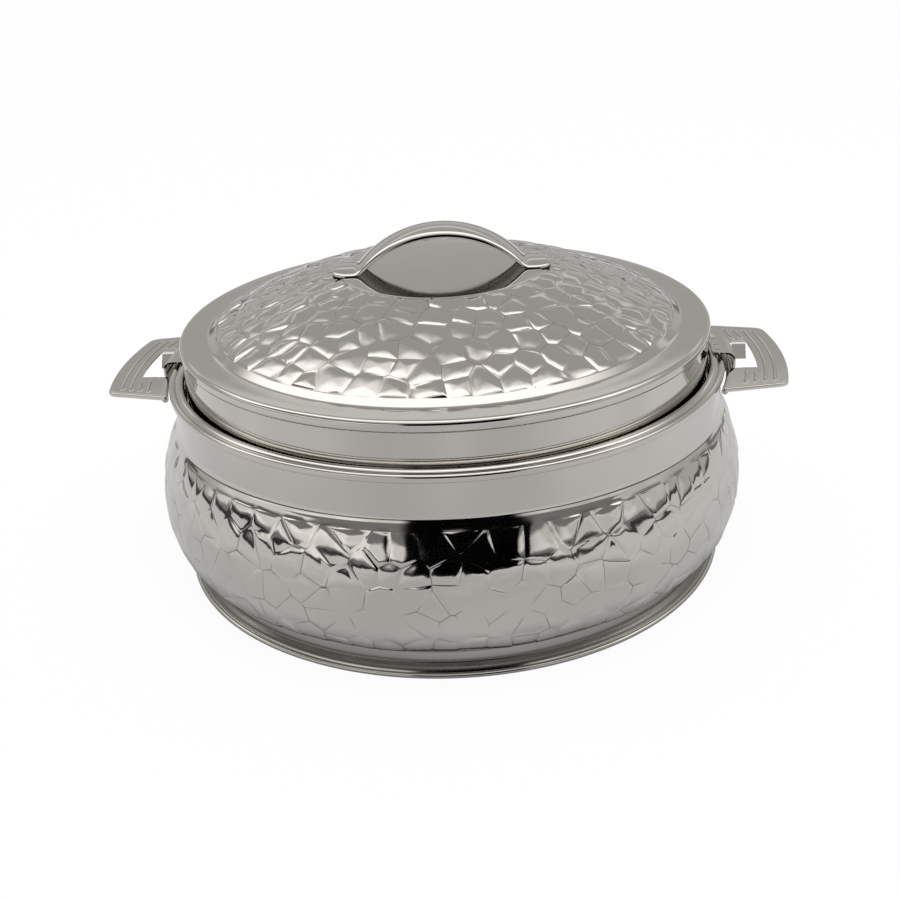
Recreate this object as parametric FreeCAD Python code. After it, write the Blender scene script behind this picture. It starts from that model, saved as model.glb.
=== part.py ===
import FreeCAD, Part
import math
import os

# Insulated casserole for flat bread: a double-walled round pot, a lift-off double-walled
# lid with a bow handle, and two wing handles that fold up on wired hems.
# Millimetres, +Z up, origin on the floor at the pot's centre, side handles along X.

V = FreeCAD.Vector

# ---------------------------------------------------------------- driving dimensions
# Sheet metal and clearances
BODY_SHEET = 0.8            # outer shell, inner pot, lid cover, lid liner, base
BRACKET_SHEET = 1.0
WING_SHEET = 1.0
BOW_SHEET = 1.2
FOAM_CLEAR = 0.3            # foam stands this far off every sheet
SEAT_CLEAR = 0.3            # lid over its ledge, hem off the neck
CUT_MARGIN = 1.0            # cutting blocks run past what they cut by this much

# Outer shell
NECK_R = 150.3
NECK_FILLET = 8.0
BELLY_SWELL = 12.7          # the belly stands out this far past the neck
BELLY_Z = 45.0              # height of the widest place
BELLY_UPPER_ARC = 72.7
BELLY_LOWER_ARC = 60.0
KNUCKLE_ARC = 16.0
SHELL_BOTTOM_Z = 13.6
SHELL_FLANGE_W = 16.2       # width of the flat, turned-in bottom

# Inner pot and its rolled rim
POT_FLOOR_RISE = 12.4       # pot floor over the shell's bottom
POT_CORNER_ARC = 14.0
WALL_T = 5.8                 # neck's outside to mouth's inside
LEDGE_W = 7.5
LEDGE_Z = 99.5              # the lid sits on this step
LEDGE_ARC = 2.0
LEDGE_INNER_ARC = 1.0
RIM_RISE = 8.7               # middle of the rim's inner bead over the ledge
RIM_BEAD_ARC = 2.6
RIM_EDGE_ARC = 1.7           # outer, smaller bead
RIM_OVERHANG = 2.3           # rim's outside past the neck
RIM_SKIRT = 1.3              # straight run under the outer bead
RIM_HEM_ARC = 1.3
SHELL_IN_RIM = 0.8           # the shell's top edge ends this far under the beads' middle

# Base ring
RING_STEP = 3.2             # ring's wall past the end of the knuckle
RING_FLANGE_W = 7.9
RING_CORNER_ARC = 1.4
RING_FLARE_ARC = 5.0
RING_FLARE_ANGLE = 55.0
RING_FLARE_W = 4.4          # middle of the bead past the ring's wall
RING_BEAD_ARC = 1.4
RING_BEAD_Z = 1.2           # lower than its radius, so the bead has a flat to stand on

# Bottom plate and foam plugs
PLATE_GAP = 0.3             # plate's edge to the ring's flange
PLATE_RISE = 2.4
PLATE_ARC = 1.6
PLATE_STEP_ANGLE = 60.0
PLATE_STEP_GAP = 4.0        # plate's step inside the shell's flange
PLUG_STEM_R = 7.9
PLUG_STEM_L = 3.6
PLUG_TAPER = 0.8
PLUG_HEAD_R = 11.0
PLUG_HEAD_T = 1.6
PLUG_HOLE_CLEAR = 0.1

# Lid
LID_TURN = 5.0              # the round lid sits turned, out of line with the wings
LID_GAP = 1.3                # skirt inside the mouth
LID_OVERHANG = 0.8          # edge past the skirt
LID_SKIRT_H = 32.6          # foot of the skirt to the flat ring
LID_EDGE_ARC = 1.5
LID_EDGE_H = 2.2            # the edge is drawn in to the skirt this far under the flat ring
LID_TUCK_ARC = 0.8
LID_HEM_W = 3.6             # width of the turned-in foot
LID_HEM_ARC = 1.2
LID_FLAT_W = 19.5           # flat ring and step, from the edge to the foot of the dome
STEP_H = 2.96               # foot of the dome over the flat ring
STEP_STEEPER = 9.0          # the step is steeper than the foot of the dome by this angle
STEP_TOP_ARC = 6.0
STEP_FOOT_ARC = 3.0
DOME_ARC = 274.0
CROWN_PAST_STUD = 2.0       # flat crown past the bow's studs
CROWN_ARC = 10.0
LINER_RISE = 11.2           # liner's face over the lid's foot
LINER_WALL_GAP = 9.2        # skirt's outside to the liner's wall
LINER_CORNER_ARC = 5.0
LINER_FOOT_ARC = 1.6

# Bow handle on the lid
BOW_HALF_L = 59.0
BOW_HALF_W = 12.5
BOW_END_ARC = 8.0
BOW_FOOT_L = 12.0           # flat foot before the bow rises
BOW_H = 23.5
BOW_BEND_ARC = 6.0
BOW_LIP = 1.6               # height of the turned-down lip
BOW_CROWN = 1.4             # the strap's middle stands this far over its edges
BOW_TRIM = 0.5              # cut off each side of the swept strap
STUD_INSET = 8.5            # stud to the foot's tip
STUD_R = 2.0
STUD_HOLE_CLEAR = 0.2
STUD_L = 11.0
STUD_HEAD_R = 4.0
STUD_HEAD_T = 1.0
STUD_HEAD_CLEAR = 0.2       # head stands this far off the crowned web
WASHER_R = 4.0
WASHER_T = 1.0
WASHER_SEAT = 0.05
NUT_ACROSS = 7.0
NUT_T = 3.2
NUT_CLEAR = 0.05
POCKET_CLEAR = 0.8          # foam pocket round washer and nut

# Wing handles
WING_DROP = 1.9              # wing's top face under the beads' middle
WING_W = 30.4               # hem to outer arc
WING_INNER_HALF = 49.0      # half width at the hem
WING_TAPER = 7.0            # each side edge leans in by this much
WING_CORNER_ARC = 7.0
WING_LIP = 2.0              # depth of the border lip under the top face
HEM_GAP = 0.6                # roll to rim
HEM_ARC = 1.8               # outer radius of the roll
WIRE_R = 0.8
WIRE_CLEAR = 0.03
WIRE_STUB = 0.8             # the wire stands out of the roll at each end
WINDOW_W = 14.5             # hem's middle to the window's far edge
WINDOW_SIDE = 7.2           # bracket's edge to the window's end
FLAP_START = 5.2             # tongues begin this far out from the hem's middle
FLAP_CUT = 1.6               # cut between a tongue and the window's outer edge
FLAP_DEPTH = 7.8
FLAP_ANGLE = 55.0            # tongues slope down by this much
FLAP_ARC = 2.2
RIDGE_START = 9.0           # first ridge from the hem's middle
RIDGE_PITCH = 4.8
RIDGE_COUNT = 4
RIDGE_ARC = 1.1
RIDGE_RISE = 0.5
RIDGE_END_GAP = 4.5         # ridges stop this far from the side edges and the window

# Brackets that hold the hems on the neck
BRACKET_HALF_W = 12.8
BRACKET_INSET = 1.2         # strap's end out from the mouth
BRACKET_OVER_RIM = 0.3
BRACKET_CORNER_ARC = 3.0
LOOP_CLEAR = 0.6            # the hem is bent while its hinge is straight
SHOULDER_ARC = 4.7
TAIL_ARC = 1.2
TAIL_FOOT_CLEAR = 0.2       # tail ends this far above the neck's fillet
DASH_HALF_L = 1.4
DASH_ARC = 0.7
DASH_RISE = 0.35
DASH_INSET = 3.2            # middle of a dash from the strap's end
DASH_PITCH = 8.5


class Outline:
    """A profile drawn as a path of straight runs and tangent bends, in radius and height."""

    def __init__(self, r, z, heading):
        self.r, self.z, self.heading = r, z, heading
        self.runs = []

    def direction(self):
        a = math.radians(self.heading)
        return math.cos(a), math.sin(a)

    def ahead(self, length):
        dr, dz = self.direction()
        start = (self.r, self.z)
        self.r += length * dr
        self.z += length * dz
        self.runs.append(("line", start, (self.r, self.z)))
        return self

    def to_r(self, r):
        return self.ahead((r - self.r) / self.direction()[0])

    def to_z(self, z):
        return self.ahead((z - self.z) / self.direction()[1])

    def bend(self, radius, degrees):
        """Turn left by positive degrees, right by negative ones."""
        side = math.copysign(1.0, degrees)
        centre = polar((self.r, self.z), radius, self.heading + 90.0 * side)
        start = self.heading - 90.0 * side
        self.runs.append(("arc", centre, radius, start, start + degrees))
        self.heading += degrees
        self.r, self.z = polar(centre, radius, start + degrees)
        return self

    def shifted(self, left):
        """The runs moved sideways, as tuples of start, middle (None if straight), end."""
        out = []
        for run in self.runs:
            if run[0] == "line":
                (r0, z0), (r1, z1) = run[1], run[2]
                length = math.hypot(r1 - r0, z1 - z0)
                nr, nz = -(z1 - z0) / length * left, (r1 - r0) / length * left
                out.append(((r0 + nr, z0 + nz), None, (r1 + nr, z1 + nz)))
            else:
                _, centre, radius, a0, a1 = run
                radius -= math.copysign(left, left * (a1 - a0)) if left else 0.0
                out.append(tuple(polar(centre, radius, a) for a in (a0, (a0 + a1) / 2, a1)))
        return out


def polar(centre, radius, degrees):
    a = math.radians(degrees)
    return centre[0] + radius * math.cos(a), centre[1] + radius * math.sin(a)


def upright(point):
    """A point of a profile, in the plane of X and Z."""
    return V(point[0], 0, point[1])


def level(z):
    """Places points of a plan outline at one height."""
    return lambda p: V(p[0], p[1], z)


def run_edge(run, place=upright):
    start, middle, end = run
    if middle is None:
        return Part.makeLine(place(start), place(end))
    return Part.Arc(place(start), place(middle), place(end)).toShape()


def corners(points):
    """Straight runs through points, for a plain stretch of an outline."""
    return [(a, None, b) for a, b in zip(points, points[1:])]


def backwards(runs):
    return [(end, middle, start) for start, middle, end in reversed(runs)]


def closed_face(runs, place=upright):
    """A face bounded by runs given in order, with straight edges across any step."""
    edges = []
    for run, following in zip(runs, runs[1:] + runs[:1]):
        edges.append(run_edge(run, place))
        if math.dist(run[2], following[0]) > 1e-6:
            edges.append(Part.makeLine(place(run[2]), place(following[0])))
    return Part.Face(Part.Wire(edges))


def sheet_face(outline, thickness, place=upright):
    """The section of a sheet that lies to the right of its outline."""
    return closed_face(outline.shifted(0.0) + backwards(outline.shifted(-thickness)), place)


def turned(shape, degrees):
    """A copy turned about the pot's axis."""
    copy = shape.copy()
    copy.rotate(V(0, 0, 0), V(0, 0, 1), degrees)
    return copy


def spun(face, degrees=360.0):
    """A solid of revolution, centred on the X axis where it isn't a whole turn."""
    start = face if degrees == 360.0 else turned(face, -degrees / 2)
    return start.revolve(V(0, 0, 0), V(0, 0, 1), degrees)


def rod(radius, z0, z1, x=0.0):
    return Part.makeCylinder(radius, z1 - z0, V(x, 0, z0))


def bent_rod(radius, centre_r, z, half_angle):
    """Round bar bent to an arc about the pot's axis."""
    circle = Part.makeCircle(radius, V(centre_r, 0, z), V(0, 1, 0))
    return spun(Part.Face(Part.Wire(circle)), 2 * half_angle)


def upright_edges(shape):
    return [e for e in shape.Edges if abs(e.tangentAt(e.FirstParameter).z) > 0.99]


def arc_angle(half_width, radius):
    return math.degrees(math.asin(half_width / radius))


def fall(arc, degrees):
    """Height that a bend takes up between level and a slope, or two slopes' difference."""
    return arc * (1 - math.cos(math.radians(degrees)))


# ---------------------------------------------------------------- outer shell
def neck_fillet_z():
    """Height at which the straight neck ends and the fillet to the belly begins."""
    reach = BELLY_UPPER_ARC + NECK_FILLET
    return BELLY_Z + math.sqrt(reach ** 2 - (reach - BELLY_SWELL) ** 2)


def shell_outline(top_z):
    """Neck, belly and knuckle, along the outside from the top down to the flat bottom."""
    fillet_angle = arc_angle(neck_fillet_z() - BELLY_Z, BELLY_UPPER_ARC + NECK_FILLET)
    knuckle_rise = BELLY_Z - SHELL_BOTTOM_Z - KNUCKLE_ARC
    knuckle_angle = arc_angle(knuckle_rise, BELLY_LOWER_ARC - KNUCKLE_ARC)
    path = Outline(NECK_R, top_z, -90.0)
    path.to_z(neck_fillet_z())
    path.bend(NECK_FILLET, fillet_angle)
    path.bend(BELLY_UPPER_ARC, -fillet_angle)
    path.bend(BELLY_LOWER_ARC, -knuckle_angle)
    return path.bend(KNUCKLE_ARC, knuckle_angle - 90.0)


# ---------------------------------------------------------------- sizes worked out
BELLY_R = NECK_R + BELLY_SWELL
MOUTH_R = NECK_R - WALL_T
POT_WALL_R = MOUTH_R - LEDGE_W
POT_FLOOR_Z = SHELL_BOTTOM_Z + POT_FLOOR_RISE
RIM_Z = LEDGE_Z + RIM_RISE
RIM_TOP_Z = RIM_Z + RIM_BEAD_ARC
RIM_R = NECK_R + RIM_OVERHANG
SHELL_TOP_Z = RIM_Z - SHELL_IN_RIM
FOAM_OFF = BODY_SHEET + FOAM_CLEAR

KNUCKLE_END_R = shell_outline(SHELL_TOP_Z).r
SHELL_FLANGE_R = KNUCKLE_END_R - SHELL_FLANGE_W
RING_INNER_R = KNUCKLE_END_R - RING_FLANGE_W
RING_R = KNUCKLE_END_R + RING_STEP
RING_BEAD_R = RING_R + RING_FLARE_W
PLATE_TOP_Z = SHELL_BOTTOM_Z + PLATE_RISE
PLATE_STEP_R = SHELL_FLANGE_R - PLATE_STEP_GAP

LID_FOOT_Z = LEDGE_Z + SEAT_CLEAR
LID_FLAT_Z = LID_FOOT_Z + LID_SKIRT_H
LID_SKIRT_R = MOUTH_R - LID_GAP
LID_R = LID_SKIRT_R + LID_OVERHANG
LINER_Z = LID_FOOT_Z + LINER_RISE

STUD_X = BOW_HALF_L - STUD_INSET
CROWN_R = STUD_X + CROWN_PAST_STUD
CROWN_TURN = arc_angle(CROWN_R, DOME_ARC - CROWN_ARC)
DOME_FOOT_TURN = arc_angle(LID_R - LID_FLAT_W, DOME_ARC)
DOME_RISE = fall(DOME_ARC, DOME_FOOT_TURN) - fall(DOME_ARC, CROWN_TURN)
CROWN_Z = LID_FLAT_Z + STEP_H + DOME_RISE + fall(CROWN_ARC, CROWN_TURN)

BOW_FOOT_X = BOW_HALF_L - BOW_FOOT_L
BOW_TOP_Z = CROWN_Z + BOW_H
BOW_T = BOW_LIP + BOW_CROWN
STUD_END_Z = CROWN_Z - STUD_L
STUD_HEAD_TOP_Z = CROWN_Z + BOW_T - BOW_SHEET - STUD_HEAD_CLEAR
WASHER_PAST_CROWN = max(0.0, STUD_X + WASHER_R - CROWN_R)
WASHER_DROP = CROWN_ARC - math.sqrt(CROWN_ARC ** 2 - WASHER_PAST_CROWN ** 2)
WASHER_TOP_Z = CROWN_Z - BODY_SHEET - WASHER_SEAT - WASHER_DROP

HEM_R = RIM_R + HEM_GAP + HEM_ARC
WING_TOP_Z = RIM_Z - WING_DROP
HEM_Z = WING_TOP_Z - HEM_ARC
WING_OUTER_R = HEM_R + WING_W
WING_LIP_Z = WING_TOP_Z - WING_LIP
WINDOW_OUTER_R = HEM_R + WINDOW_W
WINDOW_HALF = BRACKET_HALF_W + WINDOW_SIDE
HEM_HALF_ANGLE = arc_angle(WING_INNER_HALF, HEM_R)
BRACKET_INNER_R = MOUTH_R + BRACKET_INSET
BRACKET_TOP_Z = RIM_TOP_Z + BRACKET_OVER_RIM + BRACKET_SHEET


# ---------------------------------------------------------------- pot
def outer_shell():
    return spun(sheet_face(shell_outline(SHELL_TOP_Z).to_r(SHELL_FLANGE_R), BODY_SHEET))


def pot_outline():
    """Inner pot from the middle of its floor to its mouth, along the side that food touches."""
    path = Outline(0.0, POT_FLOOR_Z, 0.0)
    path.to_r(POT_WALL_R - POT_CORNER_ARC)
    path.bend(POT_CORNER_ARC, 90.0)
    path.to_z(LEDGE_Z - LEDGE_ARC)
    path.bend(LEDGE_ARC, -90.0)
    path.to_r(MOUTH_R - LEDGE_INNER_ARC)
    return path.bend(LEDGE_INNER_ARC, 90.0)


def inner_pot():
    """The pot's rim is two beads side by side and a hem that turns in under them."""
    gap = RIM_R - RIM_EDGE_ARC - MOUTH_R - RIM_BEAD_ARC
    meet = (gap ** 2 + RIM_BEAD_ARC ** 2 - RIM_EDGE_ARC ** 2) / (2 * gap)
    bead_end = math.degrees(math.acos(meet / RIM_BEAD_ARC))
    edge_start = 180.0 - math.degrees(math.acos((gap - meet) / RIM_EDGE_ARC))
    path = pot_outline()
    path.to_z(RIM_Z)
    path.bend(RIM_BEAD_ARC, bead_end - 180.0)
    path.heading = edge_start - 90.0
    path.bend(RIM_EDGE_ARC, -edge_start)
    path.to_z(RIM_Z - RIM_SKIRT)
    path.bend(RIM_HEM_ARC, -90.0)
    path.to_r(NECK_R + SEAT_CLEAR)
    return spun(sheet_face(path, BODY_SHEET))


def body_insulation():
    """Foam between shell and pot, over the bottom plate and round its plug."""
    top_z = RIM_Z - RIM_BEAD_ARC
    floor_z = SHELL_BOTTOM_Z + FOAM_OFF
    middle_z = PLATE_TOP_Z + FOAM_CLEAR
    outside = shell_outline(top_z).shifted(-FOAM_OFF)
    bottom = corners([(KNUCKLE_END_R, floor_z), (SHELL_FLANGE_R, floor_z),
                      (SHELL_FLANGE_R, middle_z), (0.0, middle_z)])
    inside = pot_outline().to_z(top_z).shifted(-FOAM_OFF)
    foam = spun(closed_face(outside + bottom + inside))
    plug_top_z = PLATE_TOP_Z - BODY_SHEET + PLUG_STEM_L
    return foam.cut(rod(PLUG_STEM_R + FOAM_CLEAR, middle_z - CUT_MARGIN, plug_top_z + FOAM_CLEAR))


def base_ring():
    """Flange under the shell, upright wall, flare, and the bead that the pot stands on."""
    flare = math.radians(RING_FLARE_ANGLE)
    flare_run = fall(RING_FLARE_ARC, RING_FLARE_ANGLE)
    slope_end_z = RING_BEAD_Z + RING_BEAD_ARC / math.sin(flare)
    slope_start_z = slope_end_z + (RING_FLARE_W - flare_run) / math.tan(flare)
    path = Outline(RING_INNER_R, SHELL_BOTTOM_Z, 0.0)
    path.to_r(RING_R - RING_CORNER_ARC)
    path.bend(RING_CORNER_ARC, -90.0)
    path.to_z(slope_start_z + RING_FLARE_ARC * math.sin(flare))
    path.bend(RING_FLARE_ARC, RING_FLARE_ANGLE)
    path.to_r(RING_BEAD_R)
    bead = Part.makeTorus(RING_BEAD_R, RING_BEAD_ARC, V(0, 0, RING_BEAD_Z))
    under_floor = rod(BELLY_R, -RING_BEAD_ARC, 0.0)
    return spun(sheet_face(path, BODY_SHEET)).fuse(bead).cut(under_floor).removeSplitter()


def bottom_plate():
    """Dished disc under the foam, with a hole for the plug."""
    foot_arc = PLATE_ARC - BODY_SHEET
    path = Outline(PLUG_STEM_R + PLUG_HOLE_CLEAR, PLATE_TOP_Z, 0.0)
    path.to_r(PLATE_STEP_R - PLATE_ARC)
    path.bend(PLATE_ARC, -PLATE_STEP_ANGLE)
    path.to_z(SHELL_BOTTOM_Z + fall(foot_arc, PLATE_STEP_ANGLE))
    path.bend(foot_arc, PLATE_STEP_ANGLE)
    path.to_r(RING_INNER_R - PLATE_GAP)
    return spun(sheet_face(path, BODY_SHEET))


def push_in_plug(underside_z):
    """Head under the sheet, tapered stem up through its hole."""
    stem = Part.makeCone(PLUG_STEM_R, PLUG_STEM_R - PLUG_TAPER, PLUG_STEM_L, V(0, 0, underside_z))
    head = rod(PLUG_HEAD_R, underside_z - PLUG_HEAD_T, underside_z)
    return head.fuse(stem).removeSplitter()


def body_foam_plug():
    return push_in_plug(PLATE_TOP_Z - BODY_SHEET)


# ---------------------------------------------------------------- lid
def lid_top_outline():
    """Lid cover from the middle of its crown to its edge and down the skirt."""
    step_angle = DOME_FOOT_TURN + STEP_STEEPER
    tuck_depth = 2 * LID_TUCK_ARC + BODY_SHEET
    tuck = math.degrees(math.acos(1 - LID_OVERHANG / tuck_depth))
    path = Outline(0.0, CROWN_Z, 0.0)
    path.to_r(CROWN_R)
    path.bend(CROWN_ARC, -CROWN_TURN)
    path.bend(DOME_ARC, CROWN_TURN - DOME_FOOT_TURN)
    path.bend(STEP_TOP_ARC, -STEP_STEEPER)
    path.to_z(LID_FLAT_Z + fall(STEP_FOOT_ARC, step_angle))
    path.bend(STEP_FOOT_ARC, step_angle)
    path.to_r(LID_R - LID_EDGE_ARC)
    path.bend(LID_EDGE_ARC, -90.0)
    path.to_z(LID_FLAT_Z - LID_EDGE_H)
    path.bend(LID_TUCK_ARC + BODY_SHEET, -tuck)
    return path.bend(LID_TUCK_ARC, tuck)


def stud_holes(cover):
    for x in (-STUD_X, STUD_X):
        hole = rod(STUD_R + STUD_HOLE_CLEAR, CROWN_Z - WASHER_R, CROWN_Z + WASHER_R, x)
        cover = cover.cut(hole)
    return cover


def lid_cover():
    path = lid_top_outline()
    path.to_z(LID_FOOT_Z + LID_HEM_ARC)
    path.bend(LID_HEM_ARC, -90.0)
    path.to_r(LID_SKIRT_R - LID_HEM_W)
    return stud_holes(spun(sheet_face(path, BODY_SHEET)))


def liner_outline(start_r, end_r):
    """Lid liner from its foot to its middle, along the side that faces the food."""
    path = Outline(start_r, LID_FOOT_Z + BODY_SHEET, 180.0)
    path.to_r(LID_SKIRT_R - LINER_WALL_GAP + LINER_FOOT_ARC + BODY_SHEET)
    path.bend(LINER_FOOT_ARC, -90.0)
    path.to_z(LINER_Z - LINER_CORNER_ARC)
    path.bend(LINER_CORNER_ARC, 90.0)
    return path.to_r(end_r)


def lid_liner():
    path = liner_outline(LID_SKIRT_R - LID_HEM_ARC, PLUG_STEM_R + PLUG_HOLE_CLEAR)
    return spun(sheet_face(path, BODY_SHEET))


def lid_insulation():
    """Foam between cover and liner, with pockets round the plug and the handle's nuts."""
    foot_z = LID_FOOT_Z + 2 * BODY_SHEET + FOAM_CLEAR
    outside = lid_top_outline().to_z(foot_z).shifted(-FOAM_OFF)
    inside = liner_outline(LID_SKIRT_R - FOAM_OFF, 0.0).shifted(-FOAM_OFF)
    foam = spun(closed_face(outside + inside))
    plug_top_z = LINER_Z + BODY_SHEET + PLUG_STEM_L
    foam = foam.cut(rod(PLUG_STEM_R + FOAM_CLEAR, LINER_Z, plug_top_z + FOAM_CLEAR))
    for x in (-STUD_X, STUD_X):
        foam = foam.cut(rod(WASHER_R + POCKET_CLEAR, STUD_END_Z - POCKET_CLEAR, CROWN_Z, x))
    return foam


def lid_foam_plug():
    return push_in_plug(LINER_Z)


# ---------------------------------------------------------------- bow handle
def bow_path():
    """Underside of the bow along its length, as a wire in the plane of X and Z."""
    slope = 2 * math.degrees(math.atan((BOW_H - BOW_T) / BOW_FOOT_X))
    arch = BOW_FOOT_X / math.sin(math.radians(slope)) - BOW_BEND_ARC
    path = Outline(-BOW_HALF_L, CROWN_Z, 0.0)
    path.to_r(-BOW_FOOT_X)
    path.bend(BOW_BEND_ARC, slope)
    path.bend(arch, -2 * slope)
    path.bend(BOW_BEND_ARC, slope)
    path.to_r(BOW_HALF_L)
    return Part.Wire([run_edge(run) for run in path.shifted(0.0)])


def crowned_bar(lip, drop):
    """The bow as a solid bar whose top is crowned; drop extends it below its path."""
    half = BOW_HALF_W + BOW_TRIM
    place = lambda p: V(-BOW_HALF_L, p[0], CROWN_Z + p[1])
    crown = ((-half, lip), (0.0, lip + BOW_CROWN), (half, lip))
    sides = corners([(half, lip), (half, -drop), (-half, -drop), (-half, lip)])
    sweep = Part.BRepOffsetAPI.MakePipeShell(bow_path())
    sweep.setBiNormalMode(V(0, 1, 0))
    sweep.add(closed_face([crown] + sides, place).OuterWire)
    sweep.build()
    sweep.makeSolid()
    return sweep.shape()


def bow_block(inset):
    """Upright block on the bow's plan, drawn in by inset, with rounded corners."""
    half_l, half_w = BOW_HALF_L - inset, BOW_HALF_W - inset
    low_z = CROWN_Z - CUT_MARGIN
    corner = V(-half_l, -half_w, low_z)
    box = Part.makeBox(2 * half_l, 2 * half_w, BOW_TOP_Z + CUT_MARGIN - low_z, corner)
    return box.makeFillet(BOW_END_ARC - inset, upright_edges(box))


def lid_handle():
    bar = crowned_bar(BOW_LIP, 0.0).common(bow_block(0.0))
    hollow = crowned_bar(BOW_LIP - BOW_SHEET, BOW_TRIM).common(bow_block(BOW_SHEET))
    return bar.cut(hollow)


def at_both_studs(make):
    return Part.makeCompound([make(-STUD_X), make(STUD_X)])


def lid_handle_studs():
    def stud(x):
        head = rod(STUD_HEAD_R, STUD_HEAD_TOP_Z - STUD_HEAD_T, STUD_HEAD_TOP_Z, x)
        return rod(STUD_R, STUD_END_Z, STUD_HEAD_TOP_Z, x).fuse(head).removeSplitter()
    return at_both_studs(stud)


def lid_handle_washers():
    def washer(x):
        low_z = WASHER_TOP_Z - WASHER_T
        hole = rod(STUD_R + STUD_HOLE_CLEAR, low_z, WASHER_TOP_Z, x)
        return rod(WASHER_R, low_z, WASHER_TOP_Z, x).cut(hole)
    return at_both_studs(washer)


def lid_handle_nuts():
    top_z = WASHER_TOP_Z - WASHER_T
    reach = NUT_ACROSS / math.sqrt(3)

    def nut(x):
        hexagon = [polar((x, 0), reach, 60 * k) for k in range(7)]
        block = closed_face(corners(hexagon), level(top_z - NUT_T)).extrude(V(0, 0, NUT_T))
        return block.cut(rod(STUD_R + NUT_CLEAR, top_z - NUT_T, top_z, x))
    return at_both_studs(nut)


# ---------------------------------------------------------------- wing handles
def wing_block(z0, z1, inset):
    """Block on the wing's plan, drawn in by inset on its free sides, with rounded corners."""
    outer_r = WING_OUTER_R - inset
    inner_angle = arc_angle(WING_INNER_HALF - inset, HEM_R)
    outer_angle = arc_angle(WING_INNER_HALF - WING_TAPER - inset, outer_r)
    inner = tuple(polar((0, 0), HEM_R, a) for a in (inner_angle, 0.0, -inner_angle))
    outer = tuple(polar((0, 0), outer_r, a) for a in (-outer_angle, 0.0, outer_angle))
    block = closed_face([inner, outer], level(z0)).extrude(V(0, 0, z1 - z0))
    far = [e for e in upright_edges(block) if e.CenterOfMass.x > HEM_R]
    return block.makeFillet(WING_CORNER_ARC - inset, far)


def window_block():
    """Opening of the wing between its hem and its grip, cut right through."""
    low_z, high_z = WING_LIP_Z - CUT_MARGIN, WING_TOP_Z + CUT_MARGIN
    ring = rod(WINDOW_OUTER_R, low_z, high_z).cut(rod(HEM_R, low_z, high_z))
    corner = V(0, -WINDOW_HALF, low_z)
    return ring.common(Part.makeBox(WING_OUTER_R, 2 * WINDOW_HALF, high_z - low_z, corner))


def wing_ridge(radius, start_angle, end_angle):
    """One shallow ridge of the grip, between two angles."""
    half_angle = (end_angle - start_angle) / 2
    ridge = bent_rod(RIDGE_ARC, radius, WING_TOP_Z + RIDGE_RISE - RIDGE_ARC, half_angle)
    middle_z = WING_TOP_Z - WING_SHEET / 2
    below = rod(WING_OUTER_R, middle_z - 2 * RIDGE_ARC, middle_z)
    return turned(ridge.cut(below), (start_angle + end_angle) / 2)


def wing_ridges():
    """Ridges run across the wing, and stop short of the window where they would cross it."""
    out = []
    for k in range(RIDGE_COUNT):
        radius = HEM_R + RIDGE_START + k * RIDGE_PITCH
        half = WING_INNER_HALF - WING_TAPER * (radius - HEM_R) / WING_W
        reach = arc_angle(half - RIDGE_END_GAP, radius)
        clear = arc_angle(WINDOW_HALF + RIDGE_END_GAP, radius)
        if radius - RIDGE_ARC > WINDOW_OUTER_R:
            out.append(wing_ridge(radius, -reach, reach))
        else:
            out += [wing_ridge(radius, clear, reach), wing_ridge(radius, -reach, -clear)]
    return out


def window_flap(side):
    """Tongue of sheet bent down from one end of the window."""
    path = Outline(WINDOW_HALF + CUT_MARGIN, WING_TOP_Z, 180.0)
    path.to_r(WINDOW_HALF)
    path.bend(FLAP_ARC, FLAP_ANGLE)
    path.to_z(WING_TOP_Z - FLAP_DEPTH)
    place = lambda p: V(HEM_R + FLAP_START, side * p[0], p[1])
    face = closed_face(path.shifted(0.0) + backwards(path.shifted(WING_SHEET)), place)
    return face.extrude(V(WINDOW_W - FLAP_CUT - FLAP_START, 0, 0))


def side_handle():
    hollow = wing_block(WING_LIP_Z - CUT_MARGIN, WING_TOP_Z - WING_SHEET, WING_SHEET)
    wing = wing_block(WING_LIP_Z, WING_TOP_Z, 0.0).cut(hollow).cut(window_block())
    wing = wing.fuse(wing_ridges() + [window_flap(1), window_flap(-1)])
    wing = wing.fuse(bent_rod(HEM_ARC, HEM_R, HEM_Z, HEM_HALF_ANGLE))
    bore_half_angle = HEM_HALF_ANGLE + arc_angle(CUT_MARGIN, HEM_R)
    wing = wing.cut(bent_rod(WIRE_R + WIRE_CLEAR, HEM_R, HEM_Z, bore_half_angle))
    return wing.removeSplitter()


def hem_wire():
    return bent_rod(WIRE_R, HEM_R, HEM_Z, HEM_HALF_ANGLE + arc_angle(WIRE_STUB, HEM_R))


# ---------------------------------------------------------------- brackets
def bracket_outline():
    """Strap over the rim, down through the window, round under the hem and down the neck."""
    loop = HEM_ARC + LOOP_CLEAR + BRACKET_SHEET
    path = Outline(BRACKET_INNER_R, BRACKET_TOP_Z, 0.0)
    path.to_r(HEM_R + loop - SHOULDER_ARC)
    path.bend(SHOULDER_ARC, -90.0)
    path.to_z(HEM_Z)
    path.bend(loop, -90.0)
    path.to_r(NECK_R + BRACKET_SHEET + TAIL_ARC)
    path.bend(TAIL_ARC, 90.0)
    return path.to_z(neck_fillet_z() + TAIL_FOOT_CLEAR)


def bracket_dash(angle):
    """Small raised dash on top of the strap, pointing outwards."""
    middle_z = BRACKET_TOP_Z - BRACKET_SHEET / 2
    start = V(BRACKET_INNER_R + DASH_INSET - DASH_HALF_L, 0, BRACKET_TOP_Z + DASH_RISE - DASH_ARC)
    dash = Part.makeCylinder(DASH_ARC, 2 * DASH_HALF_L, start, V(1, 0, 0))
    return turned(dash.cut(rod(WING_OUTER_R, middle_z - 2 * DASH_ARC, middle_z)), angle)


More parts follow.
